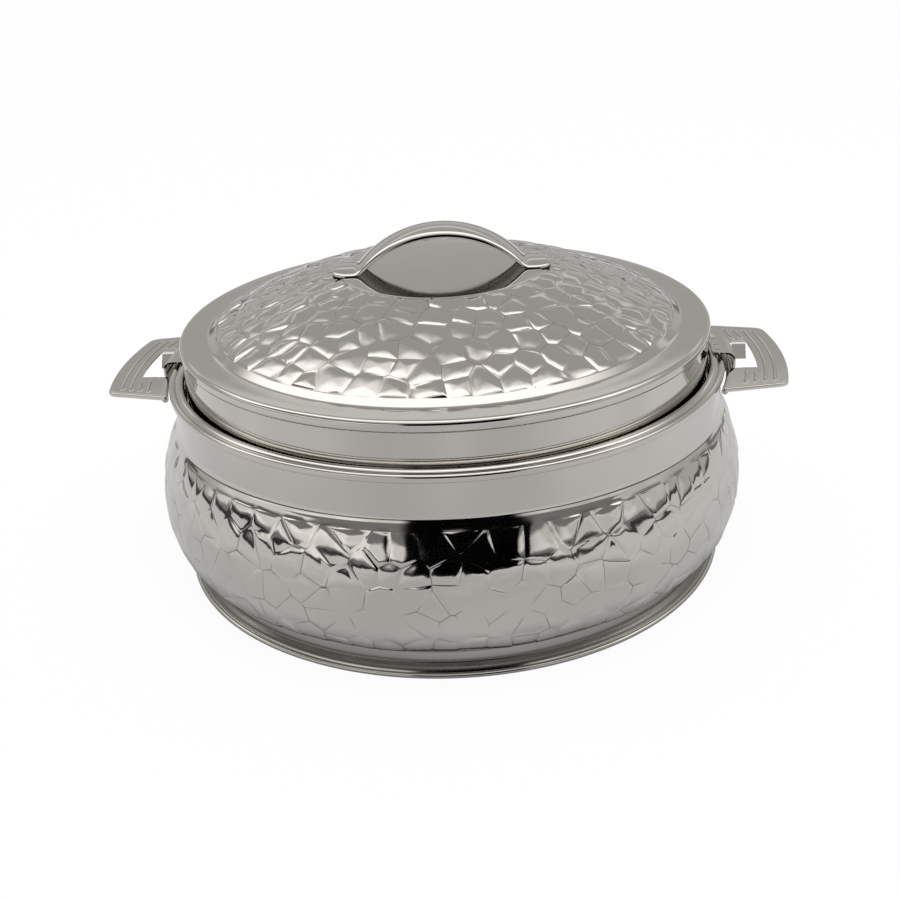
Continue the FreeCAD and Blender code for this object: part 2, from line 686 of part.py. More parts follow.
def handle_bracket():
    strap = spun(sheet_face(bracket_outline(), BRACKET_SHEET), 2 * arc_angle(BRACKET_HALF_W, HEM_R))
    tips = [e for e in upright_edges(strap) if math.hypot(*e.CenterOfMass[:2]) < NECK_R - BODY_SHEET]
    pitch = arc_angle(DASH_PITCH, BRACKET_INNER_R + DASH_INSET)
    dashes = [bracket_dash(angle) for angle in (-pitch, 0.0, pitch)]
    return strap.makeFillet(BRACKET_CORNER_ARC, tips).fuse(dashes).removeSplitter()


def main():
    pot = {
        "outer_shell": outer_shell(),
        "inner_pot": inner_pot(),
        "body_insulation": body_insulation(),
        "base_ring": base_ring(),
        "bottom_plate": bottom_plate(),
        "body_foam_plug": body_foam_plug(),
    }
    lid = {
        "lid_cover": lid_cover(),
        "lid_liner": lid_liner(),
        "lid_insulation": lid_insulation(),
        "lid_foam_plug": lid_foam_plug(),
        "lid_handle": lid_handle(),
        "lid_handle_studs": lid_handle_studs(),
        "lid_handle_washers": lid_handle_washers(),
        "lid_handle_nuts": lid_handle_nuts(),
    }
    sides = {
        "side_handle": side_handle(),
        "hem_wire": hem_wire(),
        "handle_bracket": handle_bracket(),
    }
    parts = dict(pot)
    for name, shape in lid.items():
        parts[name] = turned(shape, LID_TURN)
    for name, shape in sides.items():
        parts[name + "_right"] = shape
        parts[name + "_left"] = turned(shape, 180.0)
    os.makedirs("parts", exist_ok=True)
    for name, shape in parts.items():
        shape.exportStep("parts/" + name + ".step")
        print(name, len(shape.Solids), shape.isValid(), round(shape.Volume / 1000, 2))


main()
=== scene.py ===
# %% [markdown]
# # An insulated casserole in hammered steel
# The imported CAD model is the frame: it says where every piece sits and how it moves.
# This lesson dresses it. The pressed and spun sheets are rebuilt here with finer bends
# and real hammer marks, because a mirror finish shows every facet of a coarse mesh.

# %% Frame
import math
import random

import bmesh
import bpy
import numpy as np
from mathutils import Matrix, Vector, kdtree


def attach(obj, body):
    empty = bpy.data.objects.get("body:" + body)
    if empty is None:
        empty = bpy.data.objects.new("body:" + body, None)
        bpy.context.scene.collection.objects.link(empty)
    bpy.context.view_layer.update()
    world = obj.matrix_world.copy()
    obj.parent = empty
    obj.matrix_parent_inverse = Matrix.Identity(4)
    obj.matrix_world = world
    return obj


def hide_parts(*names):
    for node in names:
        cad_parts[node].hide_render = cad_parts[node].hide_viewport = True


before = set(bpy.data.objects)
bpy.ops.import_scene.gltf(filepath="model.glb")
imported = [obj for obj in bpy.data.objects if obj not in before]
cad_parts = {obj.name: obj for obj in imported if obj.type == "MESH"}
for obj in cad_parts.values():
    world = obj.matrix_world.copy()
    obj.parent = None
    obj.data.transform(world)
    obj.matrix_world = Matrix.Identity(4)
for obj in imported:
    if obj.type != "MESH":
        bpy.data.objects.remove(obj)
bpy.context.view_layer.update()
print("CAD nodes:", len(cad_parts))

# %% [markdown]
# ## Camera
# The pot is seen from a little above, with a short tilt of the horizon. The place and
# lens are real ones, so perspective on the wide rim comes out right.

# %% Camera
CAMERA_PLACE = (0.05470, -0.62832, 0.34950)
CAMERA_YAW = math.radians(5.0)
CAMERA_PITCH = math.radians(90.0 - 25.41)
CAMERA_ROLL = math.radians(-2.80)
CAMERA_LENS, SENSOR_WIDTH = 48.11, 36.0


def linked(name, data):
    """A new object of the scene that shows this data."""
    made = bpy.data.objects.new(name, data)
    bpy.context.scene.collection.objects.link(made)
    return made


camera_data = bpy.data.cameras.new("camera")
camera_data.lens, camera_data.sensor_width = CAMERA_LENS, SENSOR_WIDTH
camera = linked("camera", camera_data)
camera.matrix_world = (Matrix.Translation(CAMERA_PLACE) @ Matrix.Rotation(CAMERA_YAW, 4, "Z")
                       @ Matrix.Rotation(CAMERA_PITCH, 4, "X")
                       @ Matrix.Rotation(CAMERA_ROLL, 4, "Z"))
bpy.context.scene.camera = camera
bpy.context.scene.view_settings.view_transform = "Standard"
print("camera lens:", camera_data.lens, "mm")

# %% [markdown]
# ## Node helpers
# Every material, the world and the hammer's rule are small node trees. A node's output is
# wrapped so that plain arithmetic on it adds the Math nodes, which keeps each tree short.

# %% Arithmetic with nodes
class Wire:
    """An output of a node that takes part in plain arithmetic."""

    def __init__(self, socket):
        self.socket, self.tree = socket, socket.id_data

    def math(self, operation, *values, clamp=False):
        return wire(self.tree, "ShaderNodeMath", dict(enumerate((self, *values))),
                    operation=operation, use_clamp=clamp)

    def vector(self, operation, *values, out="Value", **named):
        return wire(self.tree, "ShaderNodeVectorMath",
                    {**dict(enumerate((self, *values))), **named}, out, operation=operation)

    def __add__(self, other):
        return self.math("ADD", other)

    def __sub__(self, other):
        return self.math("SUBTRACT", other)

    def __mul__(self, other):
        return self.math("MULTIPLY", other)

    def __rsub__(self, other):
        return wire(self.tree, "ShaderNodeMath", {0: other, 1: self}, operation="SUBTRACT")


# %% Node helpers
def node(tree, kind, inputs=None, **settings):
    """A new node with its settings and inputs; an input that is an output is linked."""
    made = tree.nodes.new(kind)
    for name, value in settings.items():
        setattr(made, name, value)
    for name, value in (inputs or {}).items():
        if isinstance(value, Wire):
            value = value.socket
        if isinstance(value, bpy.types.NodeSocket):
            tree.links.new(value, made.inputs[name])
        else:
            made.inputs[name].default_value = value
    return made


def wire(tree, kind, inputs=None, out=0, **settings):
    """One output of a new node."""
    return Wire(node(tree, kind, inputs, **settings).outputs[out])


def emptied(owner):
    """The node tree of a world or a material, with nothing in it."""
    owner.use_nodes = True
    owner.node_tree.nodes.clear()
    return owner.node_tree


def begun(name):
    """A new material, its empty tree, and the place of each point of the object."""
    made = bpy.data.materials.new(name)
    tree = emptied(made)
    return made, tree, wire(tree, "ShaderNodeTexCoord", out="Object")


def mapped(value, low, high, out_low=0.0, out_high=1.0, easing="SMOOTHSTEP"):
    """Value from one range to another, eased and held at both ends."""
    return wire(value.tree, "ShaderNodeMapRange",
                {"Value": value, "From Min": low, "From Max": high, "To Min": out_low,
                 "To Max": out_high}, interpolation_type=easing)


def noise(place, scale, detail=1.0):
    """Smooth chance from 0 to 1, in blots of one part in scale of a metre."""
    return wire(place.tree, "ShaderNodeTexNoise",
                {"Vector": place, "Scale": scale, "Detail": detail})


# %% [markdown]
# ## Studio
# Polished steel has no colour of its own: it shows the room. The room is drawn in the
# world's nodes, so that its walls can be placed by direction alone: a pale wall, a ceiling
# light, low lights at the front, a dark gap between them where the camera stands, and a
# dark skirting. Only mirror-like rays see it; matt surfaces get one even, plain light.

# %% Room
# Places in the room are directions: x right, y away from the camera, z up, from -1 to 1.
WALL_LEVEL, WALL_LOW_MORE, WALL_BEND_Z = 0.485, 0.08, (0.25, 0.29)
FAR_WALL_MORE, FAR_WALL_Y, FAR_WALL_Z = 0.32, (0.55, 0.75), (0.38, 0.46)
LEFT_LIGHT_LEVEL, RIGHT_LIGHT_LEVEL, LIGHT_CHANGE_X = 1.10, 0.85, (-0.1, 0.2)
LIGHT_Z, LIGHT_SOFT = (0.11, 0.40), 0.035
FRONT_LEVEL, FRONT_Y = 0.24, (-0.15, 0.25)
FRONT_TOP_LOW, FRONT_TOP_HIGH = (0.66, 0.72, 0.0, 0.45), (0.80, 0.86, 0.0, 0.55)
GAP_X, GAP_HALF = 0.13, (0.32, 0.40)
CEILING_LEVEL, CEILING_Z = 1.8, (0.45, 0.60)
CEILING_NEAR_Y, CEILING_FAR_Y = (-0.34, -0.26), (-0.02, 0.42)
CEILING_LEAN_LEFT, CEILING_LEAN_RIGHT = 0.45, 0.2
SKIRTING_Z, SKIRTING_Y, SKIRTING_DARK = (-0.03, 0.055), (0.3, 0.7), (0.85, 0.6)
EDGE_SOFT = 0.02
UNEVEN_SCALE, UNEVEN = 4.0, (0.82, 1.14)
PLAIN_LEVEL = 0.72
ROOM_COLOUR = (1.0, 0.985, 0.965, 1.0)
WHITE = (1.0, 1.0, 1.0, 1.0)
print("front wall's lights:", LEFT_LIGHT_LEVEL, "and", RIGHT_LIGHT_LEVEL)


# %% World
def between(value, low, high, soft):
    """1 inside a range of a value and 0 outside it, with soft ends."""
    return (mapped(value, low - soft, low + soft)
            * mapped(value, high - soft, high + soft, 1.0, 0.0))


def shaded(low, high, share):
    """Between two levels, by a share from 0 to 1."""
    return wire(share.tree, "ShaderNodeMix", {"Factor": share, 2: low, 3: high})


def ray_kinds(tree):
    """Whether the camera looks, and whether a mirroring or clear surface looks."""
    rays = node(tree, "ShaderNodeLightPath").outputs
    mirrored = Wire(rays["Is Glossy Ray"]).math("ADD", rays["Is Transmission Ray"], clamp=True)
    return Wire(rays["Is Camera Ray"]), mirrored


world = bpy.data.worlds.new("studio")
bpy.context.scene.world = world
tree = emptied(world)
direction = wire(tree, "ShaderNodeTexCoord", out="Generated")
split = node(tree, "ShaderNodeSeparateXYZ", {"Vector": direction}).outputs
x, y, z = (Wire(split[axis]) for axis in "XYZ")
uneven = mapped(noise(direction, UNEVEN_SCALE), 0.35, 0.65, *UNEVEN)

far_wall = between(z, *FAR_WALL_Z, EDGE_SOFT) * mapped(y, *FAR_WALL_Y, 0.0, FAR_WALL_MORE)
wall = mapped(z, *WALL_BEND_Z, WALL_LEVEL + WALL_LOW_MORE, WALL_LEVEL) + far_wall

sides = mapped((x - GAP_X).math("ABSOLUTE"), *GAP_HALF)
light_level = shaded(LEFT_LIGHT_LEVEL, RIGHT_LIGHT_LEVEL, mapped(x, *LIGHT_CHANGE_X))
light = light_level * (between(z, *LIGHT_Z, LIGHT_SOFT) * sides) * uneven
front_top = mapped(z, *FRONT_TOP_LOW) + mapped(z, *FRONT_TOP_HIGH)
front_wall = (sides * FRONT_LEVEL).math("MAXIMUM", light).math("MAXIMUM", front_top)
room = shaded(wall, front_wall, mapped(y, *FRONT_Y, 1.0, 0.0))

lean_left = (x * -1.0).math("MAXIMUM", 0.0) * CEILING_LEAN_LEFT
lean_right = x.math("MAXIMUM", 0.0) * CEILING_LEAN_RIGHT
depth = y - (lean_left + lean_right)
ceiling = (mapped(depth, *CEILING_NEAR_Y) * mapped(depth, *CEILING_FAR_Y, 1.0, 0.0)
           * mapped(z, *CEILING_Z))
room = shaded(room, CEILING_LEVEL, ceiling)
skirting = between(z, *SKIRTING_Z, EDGE_SOFT) * mapped(y, *SKIRTING_Y, *SKIRTING_DARK)
room = room * (1.0 - skirting)

camera_looks, mirrored = ray_kinds(tree)
backdrop, plain_light, room_view = (
    wire(tree, "ShaderNodeBackground", {"Color": colour, "Strength": level})
    for colour, level in ((WHITE, 1.0), (WHITE, PLAIN_LEVEL), (ROOM_COLOUR, room)))
lit = wire(tree, "ShaderNodeMixShader", {"Fac": mirrored, 1: plain_light, 2: room_view})
seen = wire(tree, "ShaderNodeMixShader", {"Fac": camera_looks, 1: lit, 2: backdrop})
node(tree, "ShaderNodeOutputWorld", {"Surface": seen})
print("studio world:", len(tree.nodes), "nodes")

# %% [markdown]
# ## Floor
# The floor glows white where the camera sees it, and less in the steel, least of all close
# to the pot, where its shade lies. A tenth of it stays matt and keeps the soft shadow.

# %% Floor
FLOOR_HALF = 6.0
FLOOR_MATT_COLOUR = (0.80, 0.79, 0.775, 1.0)
FLOOR_GLOW_SHARE = 0.9
FLOOR_SEEN_LEVEL = 1.04
FLOOR_NEAR_LEVEL, FLOOR_FAR_LEVEL, FLOOR_SHADE_R = 0.20, 0.62, (0.144, 0.184)
FLOOR_SIDE_MORE, FLOOR_SIDE_X = 0.16, (0.10, 0.42)
FLOOR_UNEVEN_SCALE, FLOOR_UNEVEN = 5.0, 0.04

floor_mesh = bpy.data.meshes.new("floor")
floor_mesh.from_pydata([(-FLOOR_HALF, -FLOOR_HALF, 0), (FLOOR_HALF, -FLOOR_HALF, 0),
                        (FLOOR_HALF, FLOOR_HALF, 0), (-FLOOR_HALF, FLOOR_HALF, 0)],
                       [], [(0, 1, 2, 3)])
floor = linked("floor", floor_mesh)

floor_finish, tree, place = begun("pale floor")
camera_looks, mirrored = ray_kinds(tree)
reach = place.vector("LENGTH")
across = wire(tree, "ShaderNodeSeparateXYZ", {"Vector": place}, "X").math("ABSOLUTE")
# Painted shade near the pot, painted light towards the sides, and soft patches: the floor as the
# steel mirrors it.
in_steel = (mapped(reach, *FLOOR_SHADE_R, FLOOR_NEAR_LEVEL, FLOOR_FAR_LEVEL)
            + mapped(across, *FLOOR_SIDE_X, 0.0, FLOOR_SIDE_MORE)
            + mapped(noise(place, FLOOR_UNEVEN_SCALE), 0.3, 0.7, -FLOOR_UNEVEN, FLOOR_UNEVEN))
level = mirrored * in_steel + camera_looks * FLOOR_SEEN_LEVEL
share = camera_looks.math("ADD", mirrored, clamp=True) * FLOOR_GLOW_SHARE
matt = wire(tree, "ShaderNodeBsdfDiffuse", {"Color": FLOOR_MATT_COLOUR})
glow = wire(tree, "ShaderNodeEmission", {"Color": WHITE, "Strength": level})
floor_mix = wire(tree, "ShaderNodeMixShader", {"Fac": share, 1: matt, 2: glow})
node(tree, "ShaderNodeOutputMaterial", {"Surface": floor_mix})
floor_mesh.materials.append(floor_finish)
print("floor:", 2 * FLOOR_HALF, "m square")

# %% Lamp
KEY_PLACE, KEY_AIM = Vector((0.3, -0.3, 1.6)), Vector((0, 0, 0.05))
KEY_SIZE, KEY_POWER = 1.2, 5.0

# It only lights matt things: its mirror image is the ceiling that the world draws.
key_data = bpy.data.lights.new("key", "AREA")
key_data.size, key_data.energy = KEY_SIZE, KEY_POWER
key = linked("key", key_data)
key.location = KEY_PLACE
key.rotation_mode = "QUATERNION"
key.rotation_quaternion = (KEY_AIM - KEY_PLACE).to_track_quat("-Z", "Y")
key.visible_glossy = False
print("key lamp:", key_data.energy, "W")

# %% [markdown]
# ## Steel
# One polished stainless steel is used nearly all over, with a fine unevenness in its gloss
# and a very low wave in the sheet. The wave is what bends the reflections on plain bands.
# The pressed liner and bottom plate are satin, with rings left by the spinning tool.

# %% Steel finishes
STEEL_COLOUR = (0.60, 0.582, 0.55, 1.0)
# Painted shade: the dark colour that creases and other shaded places of the steel are painted.
PAINTED_SHADE_COLOUR = (0.13, 0.12, 0.11, 1.0)
CREASE_DULLER = 0.25
SMUDGE_SCALE = 45.0
SPUN_DULLER = 0.12


def blend(share, first, second):
    """A colour between two others."""
    return wire(share.tree, "ShaderNodeMix", {"Factor": share, 6: first, 7: second}, 2,
                data_type="RGBA")


def surfaced(tree, colour, metallic, rough, height, metres):
    """Ends a tree in one surface, bumped by a height from 0 to 1 that is worth some metres."""
    bump = wire(tree, "ShaderNodeBump", {"Height": height, "Distance": metres, "Strength": 1.0})
    shader = wire(tree, "ShaderNodeBsdfPrincipled", {"Base Color": colour, "Metallic": metallic,
                                                     "Roughness": rough, "Normal": bump})
    node(tree, "ShaderNodeOutputMaterial", {"Surface": shader})


def steel(name, gloss, wave_scale, wave_height, smudge, colour=STEEL_COLOUR, with_painted_shade=False):
    """Polished steel. Gloss is its lowest roughness and the wave is the sheet's unevenness;
    where its points carry painted shade, in creases and other marked places, it is painted dark
    and duller."""
    made, tree, place = begun(name)
    rough = mapped(noise(place, SMUDGE_SCALE, 5.0), 0.35, 0.7, gloss, gloss + smudge, "LINEAR")
    if with_painted_shade:
        # painted shade, where the points are marked for it
        crease_and_painted_shade = wire(tree, "ShaderNodeAttribute", out="Fac", attribute_name="crease_and_painted_shade")
        colour = blend(crease_and_painted_shade, colour, PAINTED_SHADE_COLOUR)
        rough = rough + crease_and_painted_shade * CREASE_DULLER
    surfaced(tree, colour, 1.0, rough, noise(place, wave_scale), wave_height)
    return made


def spun_steel(name, colour, gloss, ring_pitch, ring_height):
    """Satin steel with fine rings about the pot's axis, as a spinning tool leaves them."""
    made, tree, place = begun(name)
    radius = place.vector("MULTIPLY", (1.0, 1.0, 0.0), out="Vector").vector("LENGTH")
    rings = wire(tree, "ShaderNodeTexNoise",
                 {"W": radius, "Scale": 1.0 / ring_pitch, "Detail": 2.0}, noise_dimensions="1D")
    rough = mapped(rings, 0.3, 0.7, gloss, gloss + SPUN_DULLER, "LINEAR")
    surfaced(tree, colour, 1.0, rough, rings, ring_height)
    return made


# %% Steels
plain_steel = steel("polished steel", 0.04, 9.0, 0.0004, 0.05)
hammered_steel = steel("hammered steel", 0.045, 30.0, 0.0001, 0.05, with_painted_shade=True)
pressed_steel = steel("pressed steel", 0.04, 9.0, 0.0004, 0.05, with_painted_shade=True)
plated_steel = steel("plated steel", 0.22, 300.0, 0.00005, 0.15, (0.52, 0.51, 0.48, 1.0))
satin_steel = spun_steel("satin steel", (0.56, 0.55, 0.53, 1.0), 0.24, 0.0011, 0.00002)
print("steels:", [m.name for m in (plain_steel, hammered_steel, pressed_steel, plated_steel,
                                  satin_steel)])

# %% [markdown]
# ## Foam and plastic
# Foam is poured between the sheets and sets hard, with small cells in a cream colour.
# The plugs that close the filling holes are moulded black plastic with a fine matt grain.

# %% Foam and plastic
def grained(name, dark, light, spot_scale, rough, grain_scale, grain_height):
    """A matt finish in two near colours, with a grain of small cells."""
    made, tree, place = begun(name)
    colour = blend(noise(place, spot_scale, 4.0), dark, light)
    grain = wire(tree, "ShaderNodeTexVoronoi", {"Vector": place, "Scale": grain_scale},
                 "Distance")
    surfaced(tree, colour, 0.0, rough, grain, grain_height)
    return made


foam_finish = grained("rigid foam", (0.70, 0.60, 0.38, 1.0), (0.86, 0.78, 0.55, 1.0), 60.0, 0.9,
                      900.0, 0.0003)
plug_finish = grained("plug plastic", (0.012, 0.012, 0.012, 1.0), (0.022, 0.022, 0.022, 1.0),
                      90.0, 0.45, 1500.0, 0.00003)
print("matt finishes:", foam_finish.name, "and", plug_finish.name)

# %% [markdown]
# ## Turned sheets
# The pot, lid and base are spun or pressed from sheet, so each is an outline turned about
# the middle. The outline is traced as straight runs and bends, the way a sheet is bent,
# and the second face of the sheet is the same trace moved sideways by its thickness.
# All shapes are worked out in millimetres; a mesh is in metres.

# %% Tracing an outline
MM = 0.001
SHEET = 0.8                 # thickness of the pot's and the lid's sheets
BEND_STEP = 9.0             # degrees between points in a bend
RUN_STEP = 8.0              # millimetres between points on a straight run


def plan(r, angle):
    return r * math.cos(angle), r * math.sin(angle)


def polar(length, degrees):
    return plan(length, math.radians(degrees))


class Trace:
    """Points of a sheet's face in radius and height, each with its normal."""

    def __init__(self, r, z, heading):
        self.r, self.z, self.heading = r, z, heading
        self.points = []
        self.mark()

    def mark(self):
        self.points.append((self.r, self.z, *polar(1.0, self.heading + 90.0)))

    def ahead(self, length):
        steps = max(1, math.ceil(abs(length) / RUN_STEP))
        step_r, step_z = polar(length / steps, self.heading)
        for _ in range(steps):
            self.r += step_r
            self.z += step_z
            self.mark()
        return self

    def to_r(self, r):
        return self.ahead((r - self.r) / polar(1.0, self.heading)[0])

    def to_z(self, z):
        return self.ahead((z - self.z) / polar(1.0, self.heading)[1])

    def bend(self, radius, degrees, step=BEND_STEP):
        """Turn left by positive degrees, right by negative ones."""
        side = math.copysign(90.0, degrees)
        out_r, out_z = polar(radius, self.heading + side)
        middle_r, middle_z = self.r + out_r, self.z + out_z
        steps = max(1, math.ceil(abs(degrees) / step))
        for _ in range(steps):
            self.heading += degrees / steps
            out_r, out_z = polar(radius, self.heading - side)
            self.r, self.z = middle_r + out_r, middle_z + out_z
            self.mark()
        return self

    def face(self, inwards=0.0):
        """The points, moved to the right of the trace."""
        return [(r - nr * inwards, z - nz * inwards) for r, z, nr, nz in self.points]

    def sheet(self):
        """A closed outline: the traced face, and the other one a sheet's thickness away."""
        return self.face() + self.face(SHEET)[::-1]


# %% Making a piece
MERGE_M, DEGENERATE_M = 2e-6, 1e-6
SHARP, HAMMERED_SHARP = 35.0, 60.0      # edges bent by more degrees than this stay sharp


def cleaned(mesh, facing_up=False):
    """Merges doubles and points faces outwards, or an open sheet's faces up; returns how
    many edges stay open."""
    work = bmesh.new()
    work.from_mesh(mesh)
    bmesh.ops.remove_doubles(work, verts=work.verts, dist=MERGE_M)
    bmesh.ops.dissolve_degenerate(work, edges=work.edges, dist=DEGENERATE_M)
    bmesh.ops.recalc_face_normals(work, faces=work.faces)
    if facing_up and sum(face.normal.z * face.calc_area() for face in work.faces) < 0:
        bmesh.ops.reverse_faces(work, faces=work.faces)
    open_edges = sum(1 for edge in work.edges if not edge.is_manifold)
    work.to_mesh(mesh)
    work.free()
    return open_edges


def finished(piece, body, stands_for, sharp=SHARP):
    """Puts a piece on its body, in its node's place."""
    open_edges = cleaned(piece.data)
    piece.data.shade_smooth()
    piece.data.set_sharp_from_angle(angle=math.radians(sharp))
    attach(piece, body)
    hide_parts(stands_for)
    triangles = sum(len(face.vertices) - 2 for face in piece.data.polygons)
    print(piece.name, "-", triangles, "triangles,", open_edges, "open edges")
    return piece


def mesh_object(name, points, faces, finish):
    """A piece from points in millimetres."""
    mesh = bpy.data.meshes.new(name)
    mesh.from_pydata((np.array(points) * MM).tolist(), [], faces)
    mesh.materials.append(finish)
    return linked(name, mesh)


def shade_painted(piece, shares):
    """Marks each point of a piece with how much painted shade it carries, from 0 to 1."""
    layer = piece.data.attributes.new("crease_and_painted_shade", "FLOAT", "POINT")
    layer.data.foreach_set("value", [float(share) for share in shares])


def plain_result(piece):
    """Runs a piece's modifiers once, keeps their result as its mesh and removes them."""
    bpy.context.view_layer.update()
    evaluated = piece.evaluated_get(bpy.context.evaluated_depsgraph_get())
    result = bpy.data.meshes.new_from_object(evaluated)
    piece.modifiers.clear()
    piece.data = result
    return piece


# %% Turning an outline
SEGMENTS = 288
ANGLES = [k * 2 * math.pi / SEGMENTS for k in range(SEGMENTS)]


def numbered(points, places):
    """Adds places to a list of points and returns their numbers."""
    first = len(points)
    points.extend(places)
    return list(range(first, len(points)))


def ring_at(points, r, z):
    """Adds a ring of points, or one point in the middle; returns a number for each angle."""
    if r < 1e-6:
        return numbered(points, [(0.0, 0.0, z)]) * SEGMENTS
    return numbered(points, [(*plan(r, a), z) for a in ANGLES])


def strips(rings):
    """Faces between neighbouring rings, which are triangles where one is a single point."""
    faces = []
    for low, high in zip(rings, rings[1:]):
        for k in range(SEGMENTS):
            m = (k + 1) % SEGMENTS
            corners = list(dict.fromkeys((low[k], low[m], high[m], high[k])))
            if len(corners) > 2:
                faces.append(corners)
    return faces


def turned(name, loop, finish, body, stands_for, shares=None):
    """A closed outline turned about the middle; shares say how much painted shade each of
    points carries."""
    points = []
    rings = [ring_at(points, r, z) for r, z in loop]
    piece = mesh_object(name, points, strips(rings + rings[:1]), finish)
    if shares:
        shade_painted(piece, np.repeat(shares, SEGMENTS))
    return finished(piece, body, stands_for)


# %% [markdown]
# ## Inner pot and its rolled rim
# The pot's mouth is rolled over into two beads side by side, with a hem turned in under
# them. The ledge inside is what the lid's foot stands on. One outline, turned, makes all
# of it, so the beads stay true rings that catch one clean line of light each.

# %% Inner pot
NECK_R, MOUTH_R, RIM_R, RIM_Z = 150.3, 144.5, 152.6, 108.2
BEAD_ARC, EDGE_ARC, RIM_HEM_ARC, RIM_SKIRT = 2.6, 1.7, 1.3, 1.3
POT_FLOOR_Z, POT_CORNER_R, POT_CORNER_ARC = 26.0, 123.0, 14.0
LEDGE_Z, LEDGE_ARC, LEDGE_INNER_ARC = 99.5, 2.0, 1.0
SEAT_CLEAR = 0.3

gap = RIM_R - EDGE_ARC - MOUTH_R - BEAD_ARC
meet = (gap ** 2 + BEAD_ARC ** 2 - EDGE_ARC ** 2) / (2 * gap)
bead_end = math.degrees(math.acos(meet / BEAD_ARC))
edge_start = 180.0 - math.degrees(math.acos((gap - meet) / EDGE_ARC))
pot = Trace(0.0, POT_FLOOR_Z, 0.0).to_r(POT_CORNER_R).bend(POT_CORNER_ARC, 90.0)
pot.to_z(LEDGE_Z - LEDGE_ARC).bend(LEDGE_ARC, -90.0).to_r(MOUTH_R - LEDGE_INNER_ARC)
pot.bend(LEDGE_INNER_ARC, 90.0).to_z(RIM_Z).bend(BEAD_ARC, bead_end - 180.0)
pot.heading = edge_start - 90.0
pot.mark()
pot.bend(EDGE_ARC, -edge_start).to_z(RIM_Z - RIM_SKIRT).bend(RIM_HEM_ARC, -90.0)
pot.to_r(NECK_R + SEAT_CLEAR)
turned("pot_inner", pot.sheet(), plain_steel, "pot", "inner_pot")

# %% [markdown]
# ## Base
# A ring welded under the shell flares out to a bead, which is the foot. The plate inside
# it is dished up, so that only the bead touches the table. A plug closes its filling hole.

# %% Base ring
BOTTOM_Z = 13.6             # underside of the shell
RING_IN_R, RING_CORNER_R, RING_CORNER_ARC = 136.317, 146.017, 1.4
FLARE, FLARE_ARC, FLARE_REACH = 55.0, 1.5, 4.4
FLARE_MIDDLE_R, FLARE_END_R, SHADE_END_R = 149.0, 150.6, 150.7
FOOT_R, FOOT_Z, FOOT_ARC = 151.817, 1.2, 1.4
SHADE_Z, SHADE_FADE = 11.4, 1.6         # dark above this height, and again at the flare
FLARE_SHADE = 0.8

flare = math.radians(FLARE)
slope_end = FOOT_Z + FOOT_ARC / math.sin(flare)
slope_start = slope_end + (FLARE_REACH - FLARE_ARC * (1 - math.cos(flare))) / math.tan(flare)
flare_top = slope_start + FLARE_ARC * math.sin(flare)
base = Trace(RING_IN_R, BOTTOM_Z, 0.0).to_r(RING_CORNER_R).bend(RING_CORNER_ARC, -90.0)
base.to_z(SHADE_Z).to_z(flare_top + SHADE_FADE).to_z(flare_top).bend(FLARE_ARC, FLARE)
base.to_r(FLARE_MIDDLE_R).to_r(FLARE_END_R)
foot_bead = [(FOOT_R + out, max(0.0, FOOT_Z + up))
             for out, up in (polar(FOOT_ARC, degrees) for degrees in range(120, -190, -10))]
base_loop = base.face() + foot_bead + base.face(SHEET)[::-1]
# Painted shade: the flare, which lies under the belly, and the ring's top under the shell are
# painted dark.
levels = (1.0, 1.8, flare_top, flare_top + SHADE_FADE, SHADE_Z, SHADE_Z + 1.0)
shades = (0, FLARE_SHADE, FLARE_SHADE, 0, 0, 1)
shade = [float(np.interp(z, levels, shades)) if r < SHADE_END_R else 0.0 for r, z in base_loop]
turned("foot_ring", base_loop, pressed_steel, "pot", "base_ring", shade)

# %% Bottom plate
HOLE_R = 8.0
PLATE_Z, PLATE_STEP_R, PLATE_EDGE_R, PLATE_ARC, PLATE_STEP = 16.0, 122.417, 136.017, 1.6, 60.0

step_arc = PLATE_ARC - SHEET
plate = Trace(HOLE_R, PLATE_Z, 0.0).to_r(PLATE_STEP_R).bend(PLATE_ARC, -PLATE_STEP)
plate.to_z(BOTTOM_Z + step_arc / 2).bend(step_arc, PLATE_STEP).to_r(PLATE_EDGE_R)
turned("base_plate", plate.sheet(), satin_steel, "pot", "bottom_plate")

# %% Plugs
PLUG_OUTLINE = ((0.0, -1.6), (9.9, -1.6), (10.6, -1.3), (11.0, -0.7), (11.0, -0.2), (10.8, 0.0),
                (7.9, 0.0), (7.5, 1.8), (7.1, 3.3), (6.7, 3.6), (0.0, 3.6))
LINER_Z = 111.0

for name, body, under, stands_for in (("base", "pot", PLATE_Z - SHEET, "body_foam_plug"),
                                      ("lid", "lid", LINER_Z, "lid_foam_plug")):
    loop = [(r, under + z) for r, z in PLUG_OUTLINE]
    turned("plug_under_" + name, loop, plug_finish, body, stands_for)

# %% [markdown]
# ## Hammer marks
# Each mark is one cell of a Voronoi pattern: the part of the sheet nearest to one blow.
# The cells are worked out on the flattened band, then wrapped on the turned outline, so
# creases run exactly along the mesh's own edges and stay crisp.

# %% Cells of a flat band
CELL_REACH = 24.0           # no cell goes further than this from its blow


def clipped(polygon, here, other):
    """The part of a polygon that is nearer to one point than to another."""
    mid = ((here[0] + other[0]) / 2, (here[1] + other[1]) / 2)
    way = (other[0] - here[0], other[1] - here[1])
    depth = [(p[0] - mid[0]) * way[0] + (p[1] - mid[1]) * way[1] for p in polygon]
    kept = []
    for k, p in enumerate(polygon):
        q, dp, dq = polygon[(k + 1) % len(polygon)], depth[k], depth[(k + 1) % len(polygon)]
        if dp <= 0:
            kept.append(p)
        if dp * dq < 0:
            t = dp / (dp - dq)
            kept.append((p[0] + t * (q[0] - p[0]), p[1] + t * (q[1] - p[1])))
    return kept


